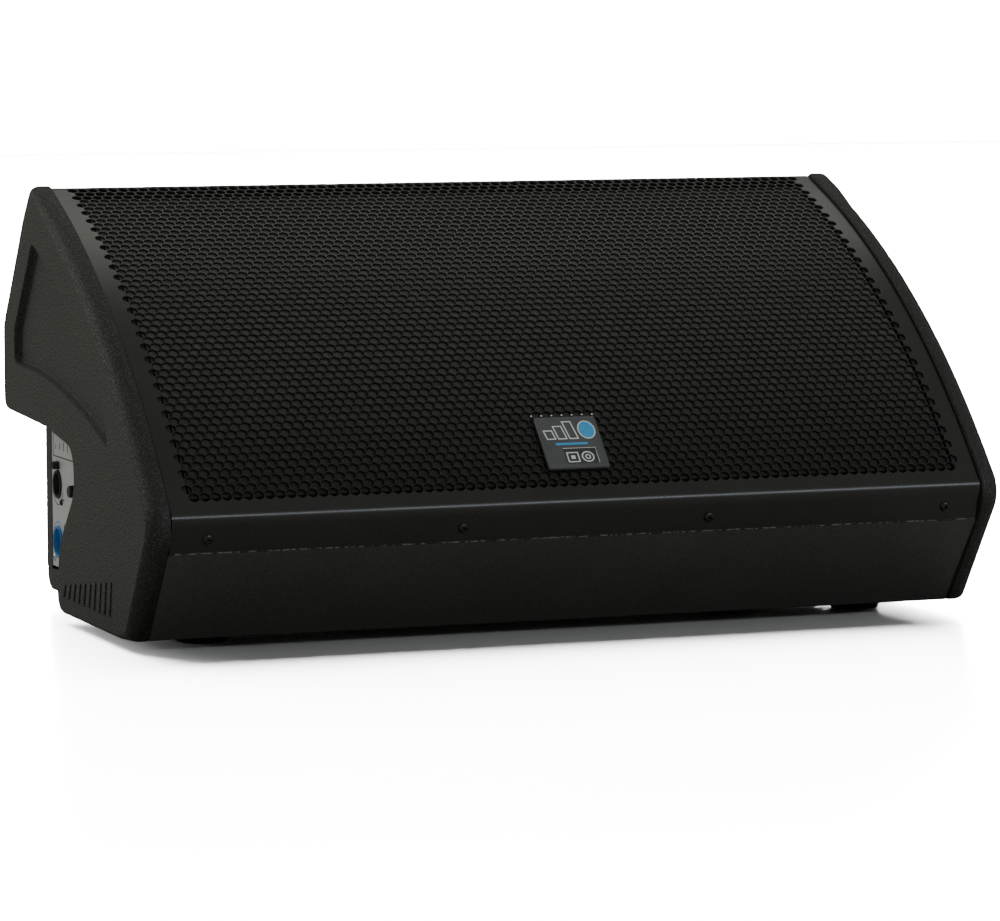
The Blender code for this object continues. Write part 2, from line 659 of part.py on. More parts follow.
def make_horn():
    """A shallow horn flare with its compression driver."""
    spot = baffle_matrix(HORN_AT)
    mouth, depth, skin = 0.084, 0.068, 0.003
    sections = 7
    rings = []
    for inner in (False, True):
        for k in range(sections):
            t = k / (sections - 1)
            height = 0.0045 - t * depth
            half = 0.0125 + (mouth - 0.0125) * (1 - t) ** 1.7
            half += 0.0 if inner else skin
            corner = min(half * (0.16 + 0.84 * t), half * 0.98)
            rings.append([(p.x, p.y, height) for p in box_outline((-half, -half), (half, half), corner, 4)])
    outside, inside = rings[:sections], rings[sections:]
    lip = [[(p.x, p.y, h) for p in box_outline((-0.098, -0.098), (0.098, 0.098), 0.014, 4)]
           for h in (0.0045, GAP)]
    under = [(x, y, GAP) for x, y, _ in outside[0]]
    loops = [lip[0], lip[1], under] + outside[1:] + inside[::-1]
    form = bmesh.new()
    grid = [[form.verts.new(p) for p in loop] for loop in loops]
    for a, b in zip(grid, grid[1:] + grid[:1]):
        for i in range(len(a)):
            j = (i + 1) % len(a)
            form.faces.new((a[i], a[j], b[j], b[i]))
    bmesh.ops.recalc_face_normals(form, faces=form.faces)
    mesh = bpy.data.meshes.new("horn_flare")
    form.to_mesh(mesh)
    form.free()
    add("horn_flare", mesh, spot, "black_plastic")
    turned("hf_driver_body", [
        (0.0120, -0.0640), (0.0300, -0.0640), (0.0450, -0.0700), (0.0450, -0.0960),
        (0.0310, -0.0960), (0.0310, -0.0900), (0.0120, -0.0820)], spot, "ferrite", 20)
    turned("hf_rear_cap", [
        (0, -0.1030), (0.0400, -0.1030), (0.0400, -0.0963), (0.0450, -0.0963), (0.0450, -0.1060),
        (0.0400, -0.1110), (0, -0.1110)], spot, "black_plastic", 20)
    turned("hf_diaphragm", [
        (0, -0.0925), (0.0180, -0.0950), (0.0300, -0.0972), (0.0300, -0.0980), (0.0175, -0.0958),
        (0, -0.0933)], spot, "titanium", 20)


def make_ports():
    for at, length, label in zip(PORTS_AT, (0.075, 0.060), ("upper", "lower")):
        wall = PORT_RADIUS + PORT_WALL
        turned(f"port_tube_{label}", [
            (wall + 0.002, 0.0025), (wall + 0.003, GAP), (wall, GAP), (wall, -length),
            (PORT_RADIUS, -length), (PORT_RADIUS, -0.003), (wall, 0.0015)],
            baffle_matrix(at), "black_plastic", 24)


# ---------------------------------------------------------------- feet and wadding
def make_feet():
    profile = [(0, -GAP), (0.0180, -GAP), (0.0182, -0.0015), (0.0165, -FOOT_HEIGHT + 0.0008),
               (0.0155, -FOOT_HEIGHT), (0, -FOOT_HEIGHT)]
    for label, (x, y) in FEET.items():
        turned(f"foot_{label}", profile, Matrix.Translation(place((y, -BODY_DROP), x)), "rubber", 24)


def make_wadding():
    """Absorbent pad on the inside of the rear panel, behind the woofer."""
    middle = place((REAR - WALL - 0.0115, -0.2120), 0.095)
    return block("damping_wadding", (0.310, 0.022, 0.104), Matrix.Translation(middle), "wadding", 0.006)


# ---------------------------------------------------------------- amplifier
def make_heatsink():
    """Black extrusion that closes the cabinet's rear left, its fins upright."""
    left, right = HEATSINK_X
    front = REAR - HEATSINK_DEPTH
    root = front + FIN_ROOT
    points = [(left, front), (left, REAR)]
    for k in range(FIN_COUNT):
        start = left + k * (right - left - FIN_THICK) / (FIN_COUNT - 1)
        if k:
            points += [(start, root), (start, REAR)]
        points.append((start + FIN_THICK, REAR))
        if k < FIN_COUNT - 1:
            points.append((start + FIN_THICK, root))
    points.append((right, front))
    middle = sum(HEATSINK_Z) / 2
    matrix = Matrix.Translation(Vector((0, SHIFT.x, middle + SHIFT.y)))
    return plate("amp_heatsink", [points], HEATSINK_Z[1] - HEATSINK_Z[0], matrix, "heatsink")


def panel_matrix(at):
    """Z out of the connector panel, X towards the front, Y up, at a (y, z) profile point."""
    return frame_matrix(place(at, -CAVITY), -BACKWARD, UP)


def slot_outline(at, width, height, radius=0.0008):
    return box_outline((at[0] - width / 2, at[1] - height / 2), (at[0] + width / 2, at[1] + height / 2),
                       radius, 2)


def latch_at():
    return (XLR_IN_AT[0], XLR_IN_AT[1] + LATCH_LIFT)


def make_connector_panel():
    low, high = PANEL_BOX
    holes = [circle(XLR_RADIUS + GAP, at, 24) for at in (XLR_IN_AT, XLR_LINK_AT)]
    holes += [circle(POWER_RADIUS + GAP, at, 24) for at in (POWER_IN_AT, POWER_LINK_AT)]
    holes += [circle(SHAFT_HOLE, at, 20) for at in (LEVEL_AT, PRESET_AT)]
    holes.append(circle(LIGHT_RADIUS + GAP, STATUS_AT, 16))
    holes.append(slot_outline(latch_at(), LATCH_SIZE[0] + 0.0008, LATCH_SIZE[1] + 0.0008))
    holes.append(slot_outline(LIFT_AT, 0.0080, 0.0035))
    return side_plate("connector_panel", [box_outline(low, (high[0] - 0.001, high[1]))] + holes,
                      -SPAN, -SPAN + PANEL_SHEET, "panel")


def make_socket(name, at, radius, well, depth, insert, look, pins=()):
    """A round panel socket with its flange behind the panel. insert is (radius, top below the rim)."""
    rim, inside = 0.0010, PANEL_SHEET + 2 * GAP
    matrix = panel_matrix(at)
    profile = [(well, rim), (radius, rim), (radius, -inside), (radius + 0.0005, -inside),
               (radius + 0.0005, -0.0180), (0, -0.0180)]
    if insert:
        profile += [(0, rim - insert[1]), (insert[0], rim - insert[1]), (insert[0], rim - depth),
                    (well, rim - depth)]
        profile = profile[-4:] + profile[:-4]
    else:
        profile = [(0, rim - depth), (well, rim - depth)] + profile
    socket = turned(name, profile, matrix, look, 24)
    for k, (x, y, pin_radius, top) in enumerate(pins):
        pin = turned(f"{name}_pin_{k}", [(0, top), (pin_radius, top - 0.0004), (pin_radius, -depth - 0.001),
                                         (0, -depth - 0.001)], matrix @ Matrix.Translation((x, y, 0)),
                     None, 12, CUTTERS)
        joined(socket, pin)
    return socket


def make_connectors():
    make_socket("xlr_input", XLR_IN_AT, XLR_RADIUS, 0.0084, 0.0130, (0.0066, 0.0050), "black_plastic")
    pins = [(0.0035 * math.sin(a), 0.0035 * math.cos(a), 0.0012, -0.0042)
            for a in (math.radians(60), math.radians(180), math.radians(300))]
    make_socket("xlr_link", XLR_LINK_AT, XLR_RADIUS, 0.0084, 0.0130, None, "black_plastic", pins)
    for name, at, look in (("power_inlet", POWER_IN_AT, "blue_plastic"),
                           ("power_link", POWER_LINK_AT, "grey_plastic")):
        make_socket(name, at, POWER_RADIUS, 0.0092, 0.0140, (0.0050, 0.0055), look)
    block("xlr_latch", (*LATCH_SIZE, 0.0070), panel_matrix(latch_at()) @ Matrix.Translation((0, 0, 0.0005)),
          "black_plastic", 0.0006)


def make_controls():
    """Level and preset knobs, ground lift slider and status light."""
    knob = [(0, 0.0100), (0.0036, 0.0100), (0.0041, 0.0094), (0.0045, 0.0012), (0.0030, 0.0010),
            (0.0030, -0.0030), (0, -0.0030)]
    turned("level_knob", knob, panel_matrix(LEVEL_AT), "black_plastic", 24)
    turned("level_pot", [(0, -0.0034), (0.0085, -0.0034), (0.0085, -0.0120), (0, -0.0120)],
           panel_matrix(LEVEL_AT), "grey_plastic", 20)
    rotary = [(0, 0.0030), (0.0042, 0.0030), (0.0046, 0.0024), (0.0048, 0.0008), (0.0030, 0.0006),
              (0.0030, -0.0030), (0, -0.0030)]
    turned("preset_knob", rotary, panel_matrix(PRESET_AT), "grey_plastic", 24)
    turned("preset_switch", [(0, -0.0034), (0.0070, -0.0034), (0.0070, -0.0120), (0, -0.0120)],
           panel_matrix(PRESET_AT), "black_plastic", 20)
    lift = panel_matrix((LIFT_AT[0] + 0.0015, LIFT_AT[1]))
    block("ground_lift_slider", (0.0040, 0.0028, 0.0045), lift @ Matrix.Translation((0, 0, -0.0006)),
          "black_plastic", 0.0003)
    turned("status_light", [(0, 0.0012), (0.0010, 0.0009), (LIGHT_RADIUS, -0.0002),
                            (LIGHT_RADIUS, -0.0040), (0, -0.0040)],
           panel_matrix(STATUS_AT), "green_lens", 16)


def make_electronics():
    """The boards and the large components behind the connector panel and on the heatsink."""
    side_plate("input_board", [box_outline((-0.088, -0.262), (0.046, -0.166), 0.002)],
               -CAVITY + 0.0205, -CAVITY + 0.0205 + BOARD_THICK, "board")
    middle = place((REAR - HEATSINK_DEPTH - BOARD_STANDOFF, -0.1960), -0.178)
    block("power_board", (0.126, BOARD_THICK, 0.128), Matrix.Translation(middle), "board")
    face = middle.y - BOARD_THICK / 2 - GAP
    level = place((0, -0.1620)).z
    core = block("power_transformer", (0.044, 0.030, 0.040),
                 Matrix.Translation((-0.150, face - 0.0150, level)), "ferrite", 0.003)
    windings = block("transformer_windings", (0.030, 0.034, 0.030),
                     Matrix.Translation((-0.150, face - 0.0170, level)), None, 0.004, CUTTERS)
    joined(core, windings)
    for k, x in enumerate((-0.222, -0.192)):
        turned(f"capacitor_{k + 1}", [(0, 0.0360), (0.0120, 0.0360), (0.0125, 0.0350), (0.0125, 0),
                                      (0, 0)],
               axis_matrix(Vector((x, face, place((0, -0.1580)).z)), -BACKWARD), "black_plastic", 24)


def make_cables():
    """Internal leads from the power board to the two drivers."""
    board = place((REAR - HEATSINK_DEPTH - BOARD_STANDOFF - 0.0030, 0), 0).y
    woofer_end = place(on_baffle(WOOFER_AT[1] - 0.030, -0.1185), WOOFER_AT[0] - 0.050)
    tube("woofer_cable", [
        Vector((-0.125, board, place((0, -0.205)).z)), place((0.022, -0.215), -0.118),
        place((0.005, -0.200), -0.100), place((0.000, -0.190), -0.074), place((0.000, -0.185), -0.040),
        place((0.010, -0.183), 0.010), woofer_end - OUT * 0.010, woofer_end - OUT * 0.0005],
        0.0016, "rubber")
    hf_end = place(on_baffle(HORN_AT[1] - 0.020, -0.1115), HORN_AT[0])
    tube("hf_cable", [
        Vector((-0.175, board, place((0, -0.215)).z)), place((0.020, -0.215), -0.178),
        place((0.000, -0.205), -0.176), hf_end - OUT * 0.010, hf_end - OUT * 0.0006], 0.0014, "rubber")


def main():
    for side, label in ((-1, "left"), (1, "right")):
        make_cheek(side, label)
        make_side_wall(side, label)
    make_boards()
    make_nose_rail()
    make_blank_plate()
    make_grille()
    make_foam()
    make_badge()
    make_grille_screws()
    make_baffle()
    make_brace()
    make_woofer()
    make_horn()
    make_ports()
    make_feet()
    make_wadding()
    make_heatsink()
    make_connector_panel()
    make_connectors()
    make_controls()
    make_electronics()
    make_cables()


main()
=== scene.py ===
"""Looks for a powered stage monitor wedge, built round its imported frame.

Metres, +Z up, -Y towards the performer, +X to the right seen from there. Side profiles are drawn as
(y, z) points measured from the cabinet's top front edge, as in the frame's own design, and the function
`spot` moves them into the frame.
"""

from math import copysign, cos, pi, radians, sin, sqrt, tan

import bmesh
import bpy
import numpy as np
from mathutils import Matrix, Vector, noise


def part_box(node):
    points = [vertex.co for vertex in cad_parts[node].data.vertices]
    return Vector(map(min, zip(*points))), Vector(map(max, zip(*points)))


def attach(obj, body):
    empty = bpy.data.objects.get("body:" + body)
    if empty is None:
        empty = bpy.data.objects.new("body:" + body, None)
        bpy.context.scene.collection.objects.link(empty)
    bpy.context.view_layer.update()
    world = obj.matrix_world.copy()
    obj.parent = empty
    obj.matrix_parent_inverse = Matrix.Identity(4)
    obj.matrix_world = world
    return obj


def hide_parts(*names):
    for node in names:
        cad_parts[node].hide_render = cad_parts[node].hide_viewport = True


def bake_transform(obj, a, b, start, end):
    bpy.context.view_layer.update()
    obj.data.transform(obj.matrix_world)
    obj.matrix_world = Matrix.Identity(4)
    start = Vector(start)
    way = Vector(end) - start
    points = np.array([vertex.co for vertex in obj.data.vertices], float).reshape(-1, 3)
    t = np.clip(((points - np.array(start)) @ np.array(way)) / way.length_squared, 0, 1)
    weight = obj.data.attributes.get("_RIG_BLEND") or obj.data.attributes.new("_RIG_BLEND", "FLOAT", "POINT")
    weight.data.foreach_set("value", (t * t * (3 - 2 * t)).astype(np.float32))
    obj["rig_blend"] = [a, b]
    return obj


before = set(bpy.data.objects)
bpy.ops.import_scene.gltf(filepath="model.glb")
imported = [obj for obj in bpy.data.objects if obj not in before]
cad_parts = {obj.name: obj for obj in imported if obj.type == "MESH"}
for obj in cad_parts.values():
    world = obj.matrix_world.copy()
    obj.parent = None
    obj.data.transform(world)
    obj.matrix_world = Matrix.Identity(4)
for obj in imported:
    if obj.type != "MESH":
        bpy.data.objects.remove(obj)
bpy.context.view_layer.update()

# Widths, read from the frame.
HALF_WIDTH = -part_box("cheek_left")[0].x
INNER = -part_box("cheek_left")[1].x          # inside face of a cheek
CAVITY = -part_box("side_wall_left")[1].x     # inside face of a side wall, plane of the connector panel
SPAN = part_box("bottom_board")[1].x
GAP = 0.0003

# The side profile, as in the frame's design.
BODY_DROP = 0.2855                # from the top front edge down to the cabinet's underside
REAR = 0.07                       # from the top front edge back to the rear face
SHEET = 0.0015                    # grille steel
GRILLE_RADIUS = 0.64
GRILLE_TOP_ANGLE = radians(19.0)
GRILLE_NOSE_ANGLE = radians(50.6)
ARC_START = radians(21.6)         # where the sheet and the cheeks leave the apex's round corner
CHEEK_PROUD = 0.003
REAR_SLOPE = radians(53.4)
REAR_SLOPE_POINT = Vector((0.0385, -0.0555))
KICK_LEAN = radians(37.5)
KICK_FOOT = Vector((-0.2338, -BODY_DROP))
FLANGE_LEAN = radians(19.5)
FLANGE_FOOT = Vector((-0.2802, -0.2251))
CHEEK_FRONT_OUTSET = 0.0015
BAFFLE_SETBACK = 0.012
WOOFER_AT = (0.105, 0.176)        # across the cabinet, and down the baffle from its top

# Places on the connector panel, as (y, z) profile points.
XLR_IN_AT = (0.04, -0.2096)
XLR_LINK_AT = (-0.062, -0.2096)
POWER_IN_AT = (0.04, -0.25)
POWER_LINK_AT = (0.006, -0.25)
STATUS_AT = (-0.045, -0.179)
LIFT_AT = (-0.015, -0.179)
LEVEL_AT = (-0.0245, -0.2085)
PRESET_AT = (-0.03, -0.248)

PROFILE_ORIGIN = Vector((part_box("bottom_board")[1].y - REAR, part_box("bottom_board")[0].z + BODY_DROP))
ACROSS = Vector((1, 0, 0))
BACKWARD = Vector((0, 1, 0))
UP = Vector((0, 0, 1))

# Round-over of the cheeks' outer edges, and their relief.
FRONT_EDGE = 0.0125
REAR_EDGE = 0.0035
APEX_EDGE = 0.0075
EDGE_CREASE = radians(18)         # the round-over meets the outer face at this angle
INSIDE_EDGE = 0.0014
POCKET_DEPTH = 0.005
POCKET_WALL = 0.0034              # width of the relief's sloping wall
POCKET_INSET = 0.033              # from a cheek's curved edge to the relief's
POCKET_BOW = 0.73                 # bend of the relief's lower edge, per metre

# Perforation of the grille: a hexagonal pattern with its rows across the cabinet.
PITCH = 0.0072
ROW = PITCH * sqrt(3) / 2
HOLE = 0.0062                     # across flats
ROWS = 54                         # an even number
HOLES_IN_ROW = 76                 # in every other row; the rows between have one less
SCREWS_X = (-0.2595, -0.0865, 0.0865, 0.2595)


# ---------------------------------------------------------------- flat geometry
def turn(angle):
    return Vector((cos(angle), sin(angle)))


def cross(a, b):
    return a.x * b.y - a.y * b.x


def meet(point, way, other, other_way):
    """Where two lines cross, each given by a point and a direction."""
    a, b = Vector(way), Vector(other_way)
    return Vector(point) + a * (cross(Vector(other) - Vector(point), b) / cross(a, b))


ARC_CENTRE = GRILLE_RADIUS * turn(GRILLE_TOP_ANGLE - pi / 2)
SLOPE_WAY = turn(-REAR_SLOPE)
KICK_WAY = turn(pi / 2 + KICK_LEAN)
KICK_OUT = turn(pi + KICK_LEAN)
FLANGE_WAY = turn(pi / 2 + FLANGE_LEAN)
FLANGE_OUT = turn(pi + FLANGE_LEAN)


def on_arc(radius, angle):
    """A point of the circle round the grille's centre, angle 0 straight above it, positive forwards."""
    return ARC_CENTRE + radius * Vector((-sin(angle), cos(angle)))


CHORD = on_arc(GRILLE_RADIUS, GRILLE_NOSE_ANGLE) - on_arc(GRILLE_RADIUS, GRILLE_TOP_ANGLE)
CHORD_WAY = CHORD.normalized()
BAFFLE_OUT = Vector((CHORD_WAY.y, -CHORD_WAY.x))


def spot(point, x=0.0):
    """A (y, z) profile point as a point of the frame."""
    return Vector((x, point[0] + PROFILE_ORIGIN.x, point[1] + PROFILE_ORIGIN.y))


def outline(corners, insets=None, steps=6):
    """Closed outline of (y, z, radius) corners, each moved inwards by its inset, with their indices.

    A corner with a radius is always steps + 1 points, so outlines of one set of corners match."""
    flat = [Vector(corner[:2]) for corner in corners]
    insets = insets or [0.0] * len(corners)
    side = copysign(1, sum(cross(flat[i - 1], p) for i, p in enumerate(flat)))
    points, owners = [], []
    for i, here in enumerate(flat):
        before = (here - flat[i - 1]).normalized()
        after = (flat[(i + 1) % len(flat)] - here).normalized()
        normals = [side * Vector((-way.y, way.x)) for way in (before, after)]
        moved = here + (normals[0] + normals[1]) * (insets[i] / (1 + normals[0].dot(normals[1])))
        radius = corners[i][2]
        if radius <= 0:
            points.append(moved)
            owners.append(i)
            continue
        bend = side * cross(before, after)
        radius = max(radius - copysign(insets[i], bend), 0.0)
        half = (-before).angle(after) / 2
        centre = moved + (after - before).normalized() * (radius / sin(half))
        first = moved - before * (radius / tan(half)) - centre
        sweep = copysign(pi - 2 * half, cross(before, after))
        for k in range(steps + 1):
            points.append(centre + Matrix.Rotation(sweep * k / steps, 2) @ first)
            owners.append(i)
    return points, owners


def rounded(low, high, radius, steps=2):
    """Closed outline of a rectangle with rounded corners."""
    corners = [(low[0], low[1], radius), (high[0], low[1], radius), (high[0], high[1], radius),
               (low[0], high[1], radius)]
    return outline(corners, steps=steps)[0]


def circle(radius, centre=(0, 0), steps=32):
    return [Vector(centre) + radius * turn(2 * pi * k / steps) for k in range(steps)]


# ---------------------------------------------------------------- objects
def frame_matrix(origin, x_way, y_way):
    """A matrix with its X and Y along two given directions."""
    x_axis = Vector(x_way).normalized()
    z_axis = x_axis.cross(Vector(y_way)).normalized()
    matrix = Matrix((x_axis, z_axis.cross(x_axis), z_axis)).transposed().to_4x4()
    matrix.translation = origin
    return matrix


def panel_matrix(at):
    """Z out of the connector panel, X towards the front, Y up, at a (y, z) profile point."""
    return frame_matrix(spot(at, -CAVITY), -BACKWARD, UP)


def baffle_matrix(at, height=0.0):
    """X across and Z out of the baffle, at a point of its face."""
    start = on_arc(GRILLE_RADIUS, GRILLE_TOP_ANGLE) + BAFFLE_OUT * (height - BAFFLE_SETBACK)
    down = Vector((0, CHORD_WAY.x, CHORD_WAY.y))
    return frame_matrix(spot(start + CHORD_WAY * at[1], at[0]), ACROSS, -down)


def new_object(name, data, place=(0, 0, 0)):
    thing = bpy.data.objects.new(name, data)
    bpy.context.scene.collection.objects.link(thing)
    thing.location = place
    return thing


def piece(name, form, look, body="root", slot=None, stands_for=(), sharp=30, matrix=None):
    """Turns a bmesh into a named piece that rides on a body, or on none yet."""
    bmesh.ops.remove_doubles(form, verts=form.verts, dist=2e-6)
    bmesh.ops.dissolve_degenerate(form, edges=form.edges, dist=1e-7)
    bmesh.ops.recalc_face_normals(form, faces=form.faces)
    if matrix is not None:
        bmesh.ops.transform(form, matrix=matrix, verts=form.verts)
    mesh = bpy.data.meshes.new(name)
    form.to_mesh(mesh)
    form.free()
    mesh.shade_smooth()
    mesh.set_sharp_from_angle(angle=radians(sharp))
    mesh.materials.append(look)
    thing = new_object(name, mesh)
    if body:
        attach(thing, body)
    if stands_for:
        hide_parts(*stands_for)
    return thing


def ring(form, points):
    return [form.verts.new(point) for point in points]


def bridge(form, one, other):
    """Quads between two rings with the same number of points."""
    for i in range(len(one)):
        j = (i + 1) % len(one)
        form.faces.new((one[i], one[j], other[j], other[i]))


def skin(form, rings, ends=True):
    """Joins each ring to the next, and closes both ends."""
    for one, other in zip(rings, rings[1:]):
        bridge(form, one, other)
    if ends:
        form.faces.new(rings[0])
        form.faces.new(rings[-1])


def ring_points(radius, height, sides=0, flute=0.0, count=48):
    """Points round Z: a circle, a polygon with this many sides, or a circle with flutes of this depth."""
    points = []
    for k in range(count):
        angle = 2 * pi * k / count
        reach = radius
        if sides and not flute:
            reach = radius / cos((angle % (2 * pi / sides)) - pi / sides)
        elif flute:
            reach = radius - flute * (0.5 + 0.5 * cos(sides * angle)) ** 2
        points.append((reach * cos(angle), reach * sin(angle), height))
    return points


def lathe(name, rows, look, matrix, count=48, closed=False, **where):
    """A piece made of rings round Z, each row (radius, height) or (radius, height, sides, flute)."""
    form = bmesh.new()
    rings = [ring(form, ring_points(*row, count=count)) for row in rows]
    skin(form, rings, not closed)
    if closed:
        bridge(form, rings[-1], rings[0])
    return piece(name, form, look, matrix=matrix, **where)


def flat_shapes(form, shapes, height, thickness, bevel=0.0):
    """Adds flat closed outlines, each with holes or not, as raised plates of this thickness."""
    curve = bpy.data.curves.new("outline", "CURVE")
    curve.dimensions = "2D"
    curve.fill_mode = "BOTH"
    curve.extrude = thickness / 2 - bevel
    curve.bevel_depth = bevel
    curve.bevel_resolution = 1
    for points in shapes:
        spline = curve.splines.new("POLY")
        spline.points.add(len(points) - 1)
        for control, (x, y) in zip(spline.points, points):
            control.co = (x, y, 0, 1)
        spline.use_cyclic_u = True
    holder = new_object("outline", curve)
    bpy.context.view_layer.update()
    mesh = bpy.data.meshes.new_from_object(holder.evaluated_get(bpy.context.evaluated_depsgraph_get()))
    mesh.transform(Matrix.Translation((0, 0, height + thickness / 2)))
    form.from_mesh(mesh)
    bpy.data.objects.remove(holder, do_unlink=True)
    bpy.data.meshes.remove(mesh)


def flat_piece(name, groups, look, height, thickness, bevel=0.0, **where):
    """A piece made of raised plates, one for each group of outlines."""
    form = bmesh.new()
    for shapes in groups:
        flat_shapes(form, shapes, height, thickness, bevel)
    return piece(name, form, look, **where)


def stroke(points, width, closed=False):
    """A line of this width through points, as one closed outline or, for a closed line, as two."""
    if closed:
        corners = [(*point, 0) for point in points]
        return [outline(corners, [inset] * len(corners))[0] for inset in (-width / 2, width / 2)]
    left, right = [], []
    for i, point in enumerate(points):
        here = Vector(point)
        way = (Vector(points[min(i + 1, len(points) - 1)]) - Vector(points[max(i - 1, 0)])).normalized()
        normal = Vector((-way.y, way.x)) * width / 2
        left.append(here + normal)
        right.append(here - normal)
    return [left + right[::-1]]


# ---------------------------------------------------------------- materials
class Look:
    """A material's node tree, with short calls for the nodes that the finishes share."""

    def __init__(self, name, roughness=0.5, metallic=0.0, **sockets):
        self.material = bpy.data.materials.new(name)
        self.material.use_nodes = True
        self.tree = self.material.node_tree
        self.shader = self.tree.nodes["Principled BSDF"]
        self.shader.inputs["Roughness"].default_value = roughness
        self.shader.inputs["Metallic"].default_value = metallic
        for socket, value in sockets.items():
            self.shader.inputs[socket.replace("_", " ")].default_value = value
        self.place = self.add("ShaderNodeTexCoord").outputs["Object"]

    def add(self, kind, settings=None, **inputs):
        made = self.tree.nodes.new(kind)
        for key, value in (settings or {}).items():
            setattr(made, key, value)
        for key, value in inputs.items():
            self.join(made.inputs[key.replace("_", " ")], value)
        return made

    def join(self, socket, value):
        """Links a node's output to a socket, or sets the socket's own value or colour."""
        if isinstance(value, bpy.types.NodeSocket):
            self.tree.links.new(value, socket)
        elif socket.type == "RGBA":
            socket.default_value = (*value, 1)
        else:
            socket.default_value = value

    def axis(self, letter):
        return self.add("ShaderNodeSeparateXYZ", Vector=self.place).outputs[letter]

    def noise(self, scale, detail=2.0, roughness=0.5, stretch=None):
        place = self.place
        if stretch:
            place = self.add("ShaderNodeMapping", Vector=place, Scale=stretch).outputs["Vector"]
        return self.add("ShaderNodeTexNoise", Vector=place, Scale=scale, Detail=detail,
                        Roughness=roughness).outputs["Fac"]

    def cells(self, scale, feature="F1"):
        made = self.add("ShaderNodeTexVoronoi", {"feature": feature}, Vector=self.place, Scale=scale)
        return made.outputs["Distance"]

    def bands(self, scale, way):
        made = self.add("ShaderNodeTexWave", {"bands_direction": way}, Vector=self.place, Scale=scale)
        return made.outputs["Fac"]

    def spread(self, value, low, high, to_low=0.0, to_high=1.0):
        return self.add("ShaderNodeMapRange", Value=value, From_Min=low, From_Max=high, To_Min=to_low,
                        To_Max=to_high).outputs["Result"]

    def math(self, operation, one, other=0.0):
        made = self.add("ShaderNodeMath", {"operation": operation})
        self.join(made.inputs[0], one)
        self.join(made.inputs[1], other)
        return made.outputs[0]

    def blend(self, share, one, other):
        made = self.add("ShaderNodeMix", {"data_type": "RGBA"})
        for index, value in ((0, share), (6, one), (7, other)):
            self.join(made.inputs[index], value)
        return made.outputs[2]

    def color(self, value):
        self.join(self.shader.inputs["Base Color"], value)

    def rough(self, value):
        self.join(self.shader.inputs["Roughness"], value)

    def bump(self, height, distance, strength=1.0):
        made = self.add("ShaderNodeBump", Height=height, Distance=distance, Strength=strength)
        self.join(self.shader.inputs["Normal"], made.outputs["Normal"])


def coat_look():
    """Sprayed protective coating: a fine pebbled black skin, with painted light in its colour: painted glints on
    the pebble tops, faces pointing across the cabinet painted lighter as if lit from the side, and painted shade
    on the round-overs and all other faces.
    """
    look = Look("textured_coat", Specular_IOR_Level=0.5)
    pebbles = look.noise(800, 2.0, 0.6)
    lumps = look.cells(820, "SMOOTH_F1")
    # Painted highlight: the pebble tops are painted lighter, as glints.
    painted_glint_tops = look.spread(pebbles, 0.49, 0.66)
    clouds = look.noise(9, 2.0)
    tint = look.blend(look.spread(clouds, 0.35, 0.65), (0.0125, 0.0128, 0.0115), (0.0165, 0.0167, 0.015))
    facing = look.add("ShaderNodeSeparateXYZ", Vector=look.add("ShaderNodeTexCoord").outputs["Normal"])
    # Painted light and shade by facing: faces pointing across the cabinet take the lit colour, round-overs and
    # other faces the shaded one.
    flat = look.spread(look.math("ABSOLUTE", facing.outputs["X"]), 0.9, 0.985)
    # The lit colour with bright painted glints, and the painted shade colour (edges) with dimmer ones.
    lit_side_colour = look.blend(painted_glint_tops, tint, (0.09, 0.091, 0.083))
    edges = look.blend(painted_glint_tops, (0.0075, 0.0077, 0.0072), (0.042, 0.0425, 0.039))
    look.color(look.blend(flat, edges, lit_side_colour))
    look.rough(look.spread(pebbles, 0.35, 0.7, 0.7, 0.5))
    look.bump(look.math("ADD", pebbles, look.math("MULTIPLY", lumps, -0.5)), 0.00034, 0.8)
    return look.material


def smooth_coat_look():
    """The same coating rolled on thinly, so that only a faint texture is left, and painted several times lighter
    than the cheeks' coat as painted light, standing in for light that the down-facing kick panel does not get.
    """
    look = Look("smooth_coat", Specular_IOR_Level=0.4)
    grain = look.noise(640, 2.0, 0.6)
    clouds = look.noise(12, 3.0)
    # Painted light: the base colour is raised well above the coating's own black.
    base = look.blend(look.spread(clouds, 0.35, 0.65), (0.068, 0.0688, 0.064), (0.077, 0.0776, 0.0725))
    look.color(look.blend(look.spread(grain, 0.55, 0.75), base, (0.105, 0.105, 0.098)))
    look.rough(look.spread(grain, 0.3, 0.7, 0.62, 0.52))
    look.bump(grain, 0.0002, 0.6)
    return look.material


def grille_look():
    """Satin black powder coat with a faint orange peel, specks of dust and a rubbed lower edge."""
    look = Look("grille_powder_coat", Specular_IOR_Level=0.55)
    peel = look.noise(1400, 1.0)
    wear = look.noise(26, 4.0, 0.6)
    dust = look.cells(190)
    speck = look.spread(dust, 0.055, 0.025)
    base = look.blend(look.spread(wear, 0.35, 0.7), (0.0125, 0.0128, 0.0118), (0.0165, 0.0165, 0.0154))
    # Here the colour carries dust specks only.
    dust_and_painted_light = look.blend(speck, base, (0.12, 0.12, 0.11))
    edge = spot(FLANGE_FOOT).z
    rubbed = look.math("MULTIPLY", look.spread(look.axis("Z"), edge + 0.0012, edge + 0.0002),
                       look.spread(look.noise(240, 5.0, 0.7), 0.46, 0.58))
    look.color(look.blend(rubbed, dust_and_painted_light, (0.24, 0.24, 0.23)))
    look.rough(look.spread(wear, 0.3, 0.7, 0.22, 0.28))
    look.bump(peel, 0.00006, 0.5)
    return look.material


